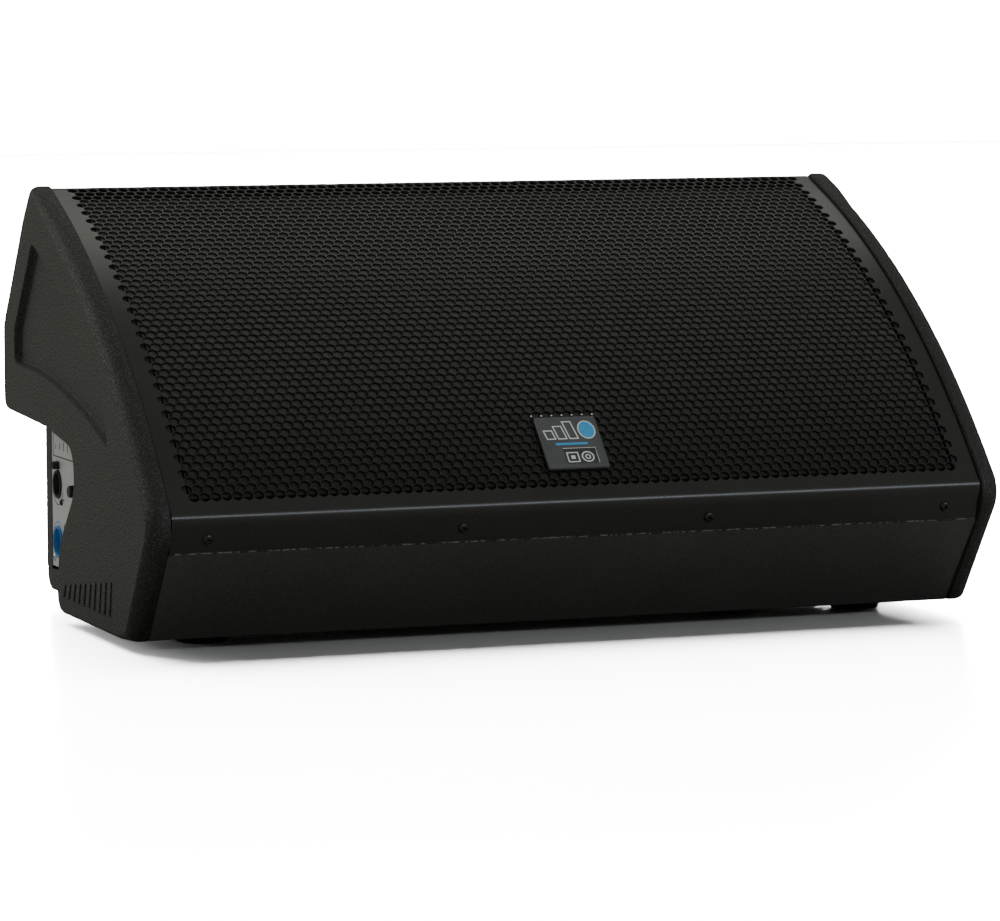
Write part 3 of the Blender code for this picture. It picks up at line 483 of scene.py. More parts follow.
def foam_look():
    """Open-cell foam, painted lighter grey towards the top as painted light from above."""
    look = Look("open_cell_foam", 0.95, Specular_IOR_Level=0.15)
    cells = look.cells(900)
    pores = look.spread(cells, 0.1, 0.7)
    dark = look.blend(pores, (0.018, 0.018, 0.0165), (0.04, 0.04, 0.037))
    dust_and_painted_light = look.blend(pores, (0.08, 0.08, 0.073), (0.17, 0.17, 0.156))
    # Painted light: higher up, the foam takes a lighter colour, standing for light from above that reaches it
    # through the holes.
    look.color(look.blend(look.spread(look.axis("Z"), 0.1, 0.24), dark, dust_and_painted_light))
    look.bump(cells, 0.0006, 0.8)
    return look.material


def plywood_look():
    """Birch plywood with long grain, painted black under the grille and on the side walls' edges."""
    look = Look("birch_plywood", 0.62)
    grain = look.noise(60, 5.0, 0.6, (0.12, 1.0, 1.0))
    fibre = look.noise(900, 2.0, 0.5, (0.05, 1.0, 1.0))
    base = look.blend(look.spread(grain, 0.35, 0.65), (0.5, 0.34, 0.19), (0.62, 0.45, 0.27))
    wood = look.blend(look.spread(fibre, 0.45, 0.75), base, (0.42, 0.27, 0.14))
    start = spot(on_arc(GRILLE_RADIUS, GRILLE_TOP_ANGLE) - BAFFLE_OUT * (BAFFLE_SETBACK + 0.004))
    offset = look.add("ShaderNodeVectorMath", {"operation": "SUBTRACT"})
    height = look.add("ShaderNodeVectorMath", {"operation": "DOT_PRODUCT"})
    look.join(offset.inputs[0], look.place)
    look.join(offset.inputs[1], start)
    look.join(height.inputs[0], offset.outputs["Vector"])
    look.join(height.inputs[1], Vector((0, BAFFLE_OUT.x, BAFFLE_OUT.y)))
    ragged = look.math("ADD", height.outputs["Value"], look.spread(grain, 0.3, 0.7, -0.0008, 0.0008))
    walls = look.spread(look.math("ABSOLUTE", look.axis("X")), CAVITY - 0.0009, CAVITY - 0.0006)
    painted = look.math("MAXIMUM", look.spread(ragged, 0.0, 0.0006), walls)
    look.color(look.blend(painted, wood, (0.014, 0.014, 0.014)))
    look.rough(look.spread(grain, 0.3, 0.7, 0.55, 0.72))
    look.bump(fibre, 0.0001, 0.5)
    return look.material


def grained(look, base, light, grain, drift, gloss, relief):
    """A finish whose colour drifts slowly, and whose roughness and relief follow a fine grain."""
    fine = look.noise(*grain)
    look.color(look.blend(look.spread(look.noise(*drift), 0.3, 0.7), base, light))
    look.rough(look.spread(fine, 0.3, 0.7, *gloss))
    look.bump(fine, *relief)
    return look.material


def plastic_look(name, base, light, roughness=0.42, scale=1600):
    """Moulded plastic with a fine spark-eroded grain."""
    gloss = (roughness - 0.05, roughness + 0.08)
    return grained(Look(name), base, light, (scale, 2.0, 0.6), (35, 2.0), gloss, (0.00005, 0.6))


def metal_look(name, base, light, roughness, brush=None, metallic=1.0):
    """Bare or anodised metal with a brushed or cast surface."""
    gloss = (roughness - 0.08, roughness + 0.1)
    return grained(Look(name, roughness, metallic), base, light, (1300, 3.0, 0.6, brush), (22, 3.0),
                   gloss, (0.00006, 0.45))


def panel_look():
    """Light grey anodised sheet with a fine horizontal grain."""
    return grained(Look("panel_sheet", 0.42, 0.35), (0.6, 0.61, 0.62), (0.7, 0.71, 0.72),
                   (900, 3.0, 0.6, (1.0, 0.06, 1.0)), (14, 3.0), (0.36, 0.48), (0.00004, 0.4))


def rubber_look(name, base, light):
    """Rubber with dull scuffs and a fine grain."""
    look = Look(name, 0.75)
    scuffs = look.noise(120, 5.0, 0.7)
    look.color(look.blend(look.spread(scuffs, 0.5, 0.85), base, light))
    look.rough(look.spread(scuffs, 0.3, 0.7, 0.66, 0.86))
    look.bump(look.noise(2200, 1.0), 0.00008, 0.6)
    return look.material


def cone_look():
    """Pressed paper with short fibres and a thin dope."""
    look = Look("cone_paper", 0.7, Sheen_Weight=0.1)
    fibres = look.noise(850, 5.0, 0.75)
    look.color(look.blend(look.spread(fibres, 0.4, 0.75), (0.018, 0.018, 0.018), (0.052, 0.05, 0.047)))
    look.bump(fibres, 0.0002, 0.7)
    return look.material


def weave_look(name, base, light, scale):
    """A plain weave, from two crossed sets of threads."""
    look = Look(name, 0.8, Sheen_Weight=0.2)
    threads = look.math("MULTIPLY", look.bands(scale, "X"), look.bands(scale, "Z"))
    look.color(look.blend(threads, base, light))
    look.bump(threads, 0.0002, 0.8)
    return look.material


def winding_look():
    look = Look("copper_winding", 0.32, 0.95)
    turns = look.bands(420, "Z")
    look.color(look.blend(turns, (0.38, 0.15, 0.06), (0.72, 0.33, 0.15)))
    look.bump(turns, 0.0002, 0.8)
    return look.material


def board_look():
    """Green solder mask with lighter tracks under it and tinned pads."""
    look = Look("circuit_board", 0.32, Coat_Weight=0.3)
    tracks = look.cells(95, "DISTANCE_TO_EDGE")
    pads = look.cells(160)
    copper = look.spread(tracks, 0.11, 0.07)
    mask = look.blend(copper, (0.012, 0.11, 0.045), (0.03, 0.21, 0.085))
    look.color(look.blend(look.spread(pads, 0.16, 0.12), mask, (0.62, 0.6, 0.52)))
    look.bump(copper, 0.00004, 0.8)
    return look.material


def core_look():
    """Varnished transformer laminations."""
    look = Look("transformer_core", 0.45, 0.6)
    sheets = look.bands(700, "X")
    rust = look.noise(60, 4.0)
    base = look.blend(look.spread(rust, 0.4, 0.7), (0.055, 0.052, 0.048), (0.11, 0.075, 0.045))
    look.color(look.blend(look.spread(sheets, 0.0, 0.4), (0.02, 0.02, 0.02), base))
    look.bump(sheets, 0.0002, 0.7)
    return look.material


def wadding_look():
    look = Look("polyester_wadding", 0.95, Sheen_Weight=0.4)
    fibres = look.noise(240, 6.0, 0.75)
    look.color(look.blend(look.spread(fibres, 0.35, 0.7), (0.6, 0.6, 0.57), (0.86, 0.86, 0.84)))
    look.bump(fibres, 0.0015, 0.8)
    return look.material


def print_look(name, base, light):
    """Screen printing ink, slightly uneven."""
    look = Look(name, 0.45)
    look.color(look.blend(look.spread(look.noise(420, 3.0), 0.3, 0.7), base, light))
    look.bump(look.noise(1800, 1.0), 0.00003, 0.5)
    return look.material


def lens_look():
    look = Look("indicator_lens", 0.12, Transmission_Weight=0.4, Coat_Weight=0.5)
    look.color(look.blend(look.cells(700), (0.03, 0.42, 0.1), (0.12, 0.75, 0.26)))
    return look.material


COAT = coat_look()
SMOOTH_COAT = smooth_coat_look()
GRILLE = grille_look()
FOAM = foam_look()
PLYWOOD = plywood_look()
RUBBER = rubber_look("foot_rubber", (0.012, 0.012, 0.012), (0.03, 0.03, 0.029))
CABLE = rubber_look("cable_sheath", (0.016, 0.016, 0.017), (0.034, 0.034, 0.035))
SURROUND = rubber_look("surround_roll", (0.01, 0.01, 0.01), (0.02, 0.02, 0.02))
BLACK = plastic_look("black_moulding", (0.014, 0.014, 0.015), (0.022, 0.022, 0.023))
HORN = plastic_look("horn_moulding", (0.016, 0.016, 0.016), (0.026, 0.026, 0.026), 0.5, 900)
BLUE = plastic_look("blue_moulding", (0.02, 0.2, 0.56), (0.04, 0.29, 0.69), 0.34)
GREY = plastic_look("grey_moulding", (0.36, 0.37, 0.38), (0.44, 0.45, 0.46), 0.42)
DARK_GREY = plastic_look("control_body", (0.045, 0.045, 0.048), (0.07, 0.07, 0.074), 0.48)
SLEEVE = plastic_look("capacitor_sleeve", (0.018, 0.022, 0.05), (0.03, 0.036, 0.075), 0.3, 700)
BADGE = plastic_look("badge_plate", (0.085, 0.089, 0.094), (0.112, 0.117, 0.122), 0.3, 600)
BADGE_INSET = plastic_look("badge_inset", (0.15, 0.157, 0.165), (0.18, 0.188, 0.196), 0.36, 600)
BLACK_STEEL = metal_look("blackened_steel", (0.03, 0.03, 0.031), (0.06, 0.06, 0.062), 0.34)
BRIGHT_STEEL = metal_look("zinc_screw", (0.58, 0.58, 0.6), (0.74, 0.74, 0.76), 0.28)
BRASS = metal_look("contact_brass", (0.62, 0.46, 0.18), (0.78, 0.6, 0.28), 0.25)
TITANIUM = metal_look("diaphragm_titanium", (0.52, 0.52, 0.54), (0.62, 0.62, 0.64), 0.28)
CASTING = metal_look("driver_casting", (0.028, 0.028, 0.03), (0.05, 0.05, 0.053), 0.45)
FERRITE = metal_look("ferrite", (0.05, 0.05, 0.052), (0.085, 0.085, 0.088), 0.58, metallic=0.3)
HEATSINK = metal_look("heatsink_anodised", (0.012, 0.012, 0.013), (0.024, 0.024, 0.025), 0.4,
                      (1.0, 1.0, 0.04), 0.85)
CONE = cone_look()
SPIDER = weave_look("spider_cloth", (0.2, 0.09, 0.03), (0.46, 0.25, 0.09), 700)
COPPER = winding_look()
BOARD = board_look()
CORE = core_look()
WADDING = wadding_look()
PANEL = panel_look()
WHITE_INK = print_look("white_ink", (0.86, 0.87, 0.88), (0.94, 0.95, 0.96))
DARK_INK = print_look("dark_ink", (0.035, 0.036, 0.04), (0.06, 0.061, 0.066))
BLUE_INK = print_look("blue_ink", (0.05, 0.38, 0.78), (0.08, 0.46, 0.88))
LENS = lens_look()


# ---------------------------------------------------------------- cheeks
def cheek_corners():
    """(y, z, radius) corners of a cheek from the apex forwards, and the round-over at each."""
    radius = GRILLE_RADIUS + CHEEK_PROUD
    last = GRILLE_NOSE_ANGLE - radians(2.2)
    kick_foot = KICK_FOOT + KICK_OUT * CHEEK_FRONT_OUTSET
    apex = meet(on_arc(radius, ARC_START), turn(ARC_START), REAR_SLOPE_POINT, SLOPE_WAY)
    nose = meet(on_arc(radius, last), turn(last + pi), kick_foot, KICK_WAY)
    foot = meet(kick_foot, KICK_WAY, (0, -BODY_DROP), (1, 0))
    shoulder = meet(REAR_SLOPE_POINT, SLOPE_WAY, (REAR, 0), (0, 1))
    steps, fade = 64, 6   # the round-over grows over the first few steps
    corners = [(*(apex + SLOPE_WAY * 0.03), 0), (*apex, 0.007)]
    edges = [REAR_EDGE, APEX_EDGE]
    for k in range(steps + 1):
        corners.append((*on_arc(radius, ARC_START + (last - ARC_START) * k / steps), 0))
        edges.append(APEX_EDGE + (FRONT_EDGE - APEX_EDGE) * min(k / fade, 1))
    corners += [(*nose, 0.024), (*foot, 0.003), (*(foot + Vector((0.02, 0))), 0)]
    edges += [FRONT_EDGE, 0.009, REAR_EDGE]
    corners += [(-0.061, -BODY_DROP, 0.014), (-0.072, -0.238, 0.045), (-0.11, -0.2, 0.02),
                (-0.11, -0.1725, 0.017), (-0.04, -0.1625, 0.06), (REAR, -0.1575, 0.009),
                (*shoulder, 0.012)]
    edges += [REAR_EDGE] * 7
    return corners, edges


def pocket_corners():
    """The curved triangular relief in the outer face of a cheek."""
    radius = GRILLE_RADIUS + CHEEK_PROUD - POCKET_INSET
    start, sweep, steps = 24.6, 15.6, 30
    stretch = [on_arc(radius, radians(start + sweep * k / steps)) for k in range(steps + 1)]
    low_rear, length, steps = Vector((0.0395, -0.1252)), 0.215, 24
    lower = [(low_rear.x - length * k / steps, low_rear.y - POCKET_BOW * (length * k / steps) ** 2, 0)
             for k in range(steps, 1, -1)]
    return ([(-0.0105, -0.0375, 0.006)] + [(*point, 0) for point in stretch]
            + [(-0.2, -0.1672, 0.005)] + lower + [(*low_rear, 0.008), (low_rear.x, -0.1, 0.014)])


def fill_loops(form, x):
    """Fills the open loops that lie in the plane at x."""
    loose = [e for e in form.edges if len(e.link_faces) == 1
             and all(abs(v.co.x - x) < 1e-6 for v in e.verts)]
    bmesh.ops.triangle_fill(form, use_beauty=True, edges=loose)


def make_cheek(side, label):
    """A side cheek with its round-over and sloping-walled relief, as one closed skin."""
    corners, edges = cheek_corners()
    form = bmesh.new()
    rings = []
    for angle in (pi / 2, pi / 4, 0.0):
        points = outline(corners, [INSIDE_EDGE * (1 - cos(angle))] * len(corners))[0]
        x = side * (INNER + INSIDE_EDGE * (1 - sin(angle)))
        rings.append(ring(form, [spot(point, x) for point in points]))
    last = pi / 2 - EDGE_CREASE
    steps = 9
    for k in range(steps + 1):
        angle = last * k / steps
        points, owners = outline(corners, [edge * (1 - cos(angle)) for edge in edges])
        rings.append(ring(form, [
            spot(point, side * (HALF_WIDTH - edges[i] * (sin(last) - sin(angle))))
            for point, i in zip(points, owners)]))
    relief = pocket_corners()
    walls, steps = [], 12
    for k in range(steps + 1):
        share = k / steps
        points = outline(relief, [POCKET_WALL * share] * len(relief))[0]
        depth = POCKET_DEPTH * share * share * (3 - 2 * share)
        walls.append(ring(form, [spot(point, side * (HALF_WIDTH - depth)) for point in points]))
    skin(form, rings, ends=False)
    skin(form, walls, ends=False)
    bmesh.ops.remove_doubles(form, verts=form.verts, dist=1e-5)
    for x in (INNER, HALF_WIDTH, HALF_WIDTH - POCKET_DEPTH):
        fill_loops(form, side * x)
    return piece(f"cheek_{label}_coated", form, COAT, slot="coated_plywood",
                 stands_for=[f"cheek_{label}"], sharp=14)


def make_emboss(side, label):
    """A plain row of raised slanted bars, low on the outer face."""
    lean, width, step, count = 0.004, 0.0058, 0.0125, 10
    rear, above_edge = 0.03, 0.0125
    shortest, growth = 0.008, 0.0016
    sunk, thickness, bevel = 0.0006, 0.0014, 0.0004
    bars = []
    for k in range(count):
        tall = shortest + growth * k
        low = Vector((rear - step * k - PROFILE_ORIGIN.x, -BODY_DROP + above_edge))
        bars.append([low, low + Vector((-width, 0)), low + Vector((-width - lean, tall)),
                     low + Vector((-lean, tall))])
    matrix = frame_matrix(spot((0, 0), side * HALF_WIDTH), BACKWARD, UP)
    if side < 0:
        matrix = matrix @ Matrix.Scale(-1, 4, (0, 0, 1))
    flat_piece(f"cheek_{label}_bars", [bars], COAT, -sunk, thickness, bevel, slot="coated_plywood",
               matrix=matrix)


# ---------------------------------------------------------------- grille
class SheetPath:
    """The grille sheet's outer face seen from the side, measured along its length from the rear lip."""

    def __init__(self):
        last, steps = GRILLE_NOSE_ANGLE - radians(0.9), 120
        apex = meet(on_arc(GRILLE_RADIUS, ARC_START), turn(ARC_START), REAR_SLOPE_POINT, SLOPE_WAY)
        nose = meet(on_arc(GRILLE_RADIUS, last), turn(last + pi), FLANGE_FOOT, FLANGE_WAY)
        arc = [on_arc(GRILLE_RADIUS, ARC_START + (last - ARC_START) * k / steps) for k in range(steps + 1)]
        lip, apex_radius, nose_radius = 0.009, 0.0032, 0.0075
        corners = ([(*(apex + SLOPE_WAY * lip), 0), (*apex, apex_radius)] + [(*p, 0) for p in arc]
                   + [(*nose, nose_radius), (*FLANGE_FOOT, 0), (*(FLANGE_FOOT + Vector((0.1, 0.1))), 0)])
        self.points = np.array(outline(corners, steps=8)[0][:-1])
        moves = np.diff(self.points, axis=0)
        self.lengths = np.concatenate([[0], np.cumsum(np.hypot(*moves.T))])
        self.ways = np.unwrap(np.arctan2(moves[:, 1], moves[:, 0]))
        self.middles = (self.lengths[1:] + self.lengths[:-1]) / 2
        self.end = self.lengths[-1]
        arc_start = self.lengths[np.argmin(np.hypot(*(self.points - np.array(arc[0])).T))]
        self.apex_end = arc_start - (arc[0] - apex).length + 0.002

    def at(self, u, v, depth=0.0):
        """A place this far across the sheet, along it, and under its outer face."""
        way = np.interp(v, self.middles, self.ways)
        y = np.interp(v, self.lengths, self.points[:, 0]) - sin(way) * depth
        z = np.interp(v, self.lengths, self.points[:, 1]) + cos(way) * depth
        return spot((y, z), u)


PATH = SheetPath()


def hexagon(share, count=12):
    """Points round a pattern cell of unit pitch: a hexagon with a corner upwards, or rounded to a circle
    by a share of its own."""
    circle_reach = 0.53
    points = []
    for k in range(count):
        angle = 2 * pi * k / count
        reach = 0.5 / cos((angle + pi / 6) % (pi / 3) - pi / 6)
        points.append(turn(angle) * (share * circle_reach + (1 - share) * reach))
    return points


class Sheet:
    """The grille's bmesh, with its vertices known by their places on the unfolded sheet."""

    def __init__(self):
        self.form = bmesh.new()
        self.known = {}

    def vertex(self, u, v, depth=0.0):
        key = (round(u * 2e6), round(v * 2e6), depth)
        if key not in self.known:
            self.known[key] = self.form.verts.new(PATH.at(u, v, depth))
        return self.known[key]

    def hole(self, u, v, outer, shape):
        """Both faces of one pattern cell, and the wall and chamfer of the hole in it."""
        wide, chamfer = 1.09, 0.0005
        levels = [(0.0, outer)]
        for depth, size in ((0.0, wide), (chamfer, 1.0), (SHEET, 1.0)):
            levels.append((depth, [(u + p.x * HOLE * size, v + p.y * HOLE * size) for p in shape]))
        levels.append((SHEET, outer))
        rims = [[self.vertex(*place, depth) for place in places] for depth, places in levels]
        for one, other in zip(rims, rims[1:]):
            bridge(self.form, one, other)

    def strip(self, one, other):
        """Quads on both faces of the sheet between two rows of places."""
        for depth in (0.0, SHEET):
            a, b = ([self.vertex(*place, depth) for place in row] for row in (one, other))
            for k in range(len(a) - 1):
                corners = []
                for corner in (a[k], a[k + 1], b[k + 1], b[k]):
                    if corner not in corners:
                        corners.append(corner)
                if len(corners) > 2:
                    self.form.faces.new(corners)


def make_grille():
    """The perforated steel front: hexagonal holes, plain borders, folds and the screwed flange."""
    sheet = Sheet()
    cell, hole = hexagon(0), hexagon(0.3)
    first = PATH.apex_end + ROW * 0.8     # middle of the rear row
    half = INNER - 3 * GAP
    margin, fold_step = ROW * 0.72, 0.0021
    left, right, rear, front = [], [], [], []
    for j in range(ROWS):
        v, count = first + j * ROW, HOLES_IN_ROW - j % 2
        wide = j % 2 == 0
        for i in range(count):
            u = (i - (count - 1) / 2) * PITCH
            outer = [(u + p.x * PITCH, v + p.y * PITCH) for p in cell]
            sheet.hole(u, v, outer, hole)
            if i == 0:
                left += [outer[k] for k in ((8, 7, 6, 5, 4) if wide else (7, 6, 5))]
            if i == count - 1:
                right += [outer[k] for k in ((10, 11, 0, 1, 2) if wide else (11, 0, 1))]
            if j == 0:
                rear += [outer[k] for k in (7, 8, 9, 10, 11)[(1 if i else 0):]]
            if j == ROWS - 1:
                front += [outer[k] for k in (5, 4, 3, 2, 1)[(1 if i else 0):]]
    for row, x in ((left[1:], -half), (right[1:], half)):
        sheet.strip(row, [(x, v) for _, v in row])
    for row, start, stop in ((rear, first - margin, 0.0),
                             (front, first + (ROWS - 1) * ROW + margin, PATH.end)):
        previous = [(-half, row[0][1])] + row + [(half, row[-1][1])]
        count = int(abs(stop - start) / fold_step)
        for k in range(count + 1):
            line = [(u, start + (stop - start) * k / count) for u, _ in previous]
            sheet.strip(previous, line)
            previous = line
    border = [e for e in sheet.form.edges if len(e.link_faces) == 1]
    bmesh.ops.bridge_loops(sheet.form, edges=border)
    return piece("grille_sheet", sheet.form, GRILLE, slot="grille_steel", stands_for=["grille"], sharp=38)


def make_foam():
    """Open-cell foam behind the grille, its face a little uneven."""
    form = bmesh.new()
    outer = GRILLE_RADIUS - SHEET - 2 * GAP
    thickness, side_gap = 0.0046, 0.0012
    start, sweep = 20.8, 28.6
    half, columns, lines = SPAN - side_gap, 150, 84
    for radius, amount in ((outer, 0.0005), (outer - thickness, 0.0002)):
        grid = []
        for j in range(lines + 1):
            angle = radians(start + sweep * j / lines)
            row = []
            for i in range(columns + 1):
                u = half * (2 * i / columns - 1)
                dip = amount * (0.5 + 0.5 * noise.noise(Vector((u * 130, angle * 90, radius))))
                row.append(form.verts.new(spot(on_arc(radius - dip, angle), u)))
            grid.append(row)
        for a, b in zip(grid, grid[1:]):
            for k in range(columns):
                form.faces.new((a[k], a[k + 1], b[k + 1], b[k]))
    bmesh.ops.bridge_loops(form, edges=[e for e in form.edges if len(e.link_faces) == 1])
    foam = piece("grille_foam_sheet", form, FOAM, slot="foam", stands_for=["grille_foam"], sharp=50)


def make_wadding():
    """A soft fibre pad with rounded, lumpy faces."""
    low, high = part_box("damping_wadding")
    middle, half = (low + high) / 2, (high - low) / 2
    form = bmesh.new()
    bmesh.ops.create_cube(form, size=2)
    bmesh.ops.subdivide_edges(form, edges=form.edges, cuts=47, use_grid_fill=True)
    rim, thinning = 0.14, 0.55
    for vert in form.verts:
        cube = vert.co.copy()
        edge = max(abs(cube.x), abs(cube.z))
        pull = 1 - thinning * max(edge - (1 - rim), 0) / rim * abs(cube.y)
        lump = 1 - 0.16 * (0.5 + 0.5 * noise.noise(Vector((cube.x * 5, cube.y, cube.z * 2.4))))
        side = 0.985 - 0.02 * (0.5 + 0.5 * noise.noise(cube * 4.3)) - 0.012 * cube.y * cube.y
        vert.co = Vector((cube.x * side, cube.y * pull * lump, cube.z * side))
        vert.co = middle + Vector(vert.co[k] * half[k] for k in range(3))
    pad = piece("wadding_pad", form, WADDING, slot="wadding", stands_for=["damping_wadding"], sharp=80)


# ---------------------------------------------------------------- small parts of the front
def hex_screw(name, radius, matrix, look, slot, stands_for=(), dome=0.0016, socket=0.42):
    """A domed screw with a hexagon recess. Z of its matrix points out of the surface."""
    recess = radius * socket
    rows = [(recess * 0.96, dome * 0.15, 6), (recess, dome * 0.93, 6), (recess * 1.12, dome, 6),
            (radius * 0.66, dome * 0.92), (radius * 0.88, dome * 0.62), (radius * 0.985, dome * 0.22),
            (radius, 0.0), (radius * 0.98, -0.0006)]
    return lathe(name, rows, look, matrix, slot=slot, stands_for=stands_for, sharp=35)


def make_grille_screws():
    up_flange, clear = 0.0105, 0.0002
    seat = FLANGE_FOOT + FLANGE_WAY * up_flange + FLANGE_OUT * clear
    for k, x in enumerate(SCREWS_X):
        matrix = frame_matrix(spot(seat, x), ACROSS,
                              Vector((0, FLANGE_OUT.x, FLANGE_OUT.y)).cross(ACROSS))
        hex_screw(f"grille_screw_head_{k + 1}", 0.0035, matrix, GRILLE, "black_screw",
                  [f"grille_screw_{k + 1}"], dome=0.0017)


def make_badge():
    """A square plate with plain abstract marks, and a row of painted dots on the grille above it."""
    low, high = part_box("badge")
    half, thickness, angle = 0.0215, 0.0014, radians(46.7)
    way = turn(angle)
    seat = spot(on_arc(GRILLE_RADIUS, angle), (low.x + high.x) / 2)
    matrix = frame_matrix(seat, ACROSS, Vector((0, way.x, way.y)))
    form = bmesh.new()
    rows = [(half - 0.0004, 0.0003, 0.0012), (half, 0.0007, 0.0016), (half, thickness + 0.0008, 0.0016),
            (half - 0.0004, thickness + 0.0013, 0.0013), (half - 0.0009, thickness + 0.0014, 0.001),
            (half - 0.0016, thickness + 0.0014, 0.0008), (half - 0.0019, thickness + 0.0012, 0.0007)]
    rings = []
    for reach, height, radius in rows:
        points = rounded((-reach, -reach), (reach, reach), radius, 5)
        rings.append(ring(form, [(p.x, p.y, height) for p in points]))
    skin(form, rings)
    piece("badge_body", form, BADGE, slot="badge_plate", stands_for=["badge"], matrix=matrix, sharp=25)
    face = thickness + 0.0011
    foot, width, steps = 0.0028, 0.0058, 28
    bars = [[(x, foot), (x + width, foot), (x + width - lean, foot + tall), (x - lean, foot + tall)]
            for x, tall, lean in ((-0.0165, 0.007, 0.0012), (-0.0085, 0.0105, 0.0018),
                                  (-0.0005, 0.0142, 0.0024))]
    drop = [(0.0128 + 0.0058 * p.x, 0.0098 + 0.0072 * p.y) for p in circle(1, steps=steps)]
    marks = {
        "badge_outline_mark": (WHITE_INK, [line for shape in (*bars, drop)
                                           for line in stroke(shape, 0.0008, True)]),
        "badge_shape_mark": (BLUE_INK, [outline([(*p, 0) for p in drop], [0.0004] * len(drop))[0]]),
        "badge_line_mark": (BLUE_INK, [rounded((-0.012, -0.0024), (0.011, -0.0006), 0.0008, 3)]),
        "badge_frame_mark": (WHITE_INK, stroke([(-0.008, -0.0052), (0.015, -0.0052),
                                                (0.015, -0.0176)], 0.00035)),
        "badge_square_mark": (WHITE_INK, stroke([(-0.0062, -0.0165), (0.0014, -0.0165),
                                                 (0.0014, -0.0089), (-0.0062, -0.0089)], 0.0008, True)
                              + [[(-0.0038, -0.0141), (-0.001, -0.0141), (-0.001, -0.0113),
                                  (-0.0038, -0.0113)]]),
        "badge_ring_mark": (WHITE_INK, [circle(radius, (0.008, -0.0126))
                                        for radius in (0.0044, 0.0035, 0.002, 0.0012)]),
    }
    for name, (look, shapes) in marks.items():
        flat_piece(name, [shapes], look, face, 0.0003, slot="badge_plate", matrix=matrix, sharp=40)
    plate = rounded((-0.008, -0.0178), (0.015, -0.0052), 0.0008, 3)
    flat_piece("badge_inset_plate", [[plate]], BADGE_INSET, face - 0.0001, 0.0002, slot="badge_plate",
               matrix=matrix, sharp=40)
    # A row of small white dots on the grille, one hole pitch apart.
    dots = [[circle(0.0006, ((k - 3) * PITCH, half + 0.0032), 12)] for k in range(7)]
    flat_piece("grille_white_dots", dots, WHITE_INK, -0.0001, 0.0003, slot="grille_steel", matrix=matrix,
               sharp=40)


def make_feet():
    """Rubber feet with a chamfered tread, and a steel screw in a recess."""
    for label in ("front_left", "front_right", "rear_left", "rear_right"):
        low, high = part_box(f"foot_{label}")
        middle = Vector(((low.x + high.x) / 2, (low.y + high.y) / 2, low.z))
        reach, tall = (high.x - low.x) / 2, high.z - low.z
        rows = [(reach * 0.9, tall), (reach * 0.985, tall), (reach, tall - 0.0006), (reach, tall - 0.0014),
                (reach * 0.985, tall - 0.0022), (reach * 0.935, 0.0016), (reach * 0.915, 0.0006),
                (reach * 0.87, 0.0), (reach * 0.58, 0.0), (reach * 0.5, 0.0007), (reach * 0.46, 0.004),
                (reach * 0.3, 0.0044)]
        lathe(f"foot_{label}_rubber", rows, RUBBER, Matrix.Translation(middle), 64, slot="foot_rubber",
              stands_for=[f"foot_{label}"])
        flip = Matrix.Translation(middle + Vector((0, 0, 0.004))) @ Matrix.Rotation(pi, 4, "X")
        hex_screw(f"foot_{label}_screw", reach * 0.34, flip, BRIGHT_STEEL, "foot_rubber", dome=0.0016)


# ---------------------------------------------------------------- connector panel
def panel_place(at):
    """A (y, z) profile point in the connector panel's own X and Y, measured from the signal input."""
    return Vector((XLR_IN_AT[0] - at[0], at[1] - XLR_IN_AT[1]))


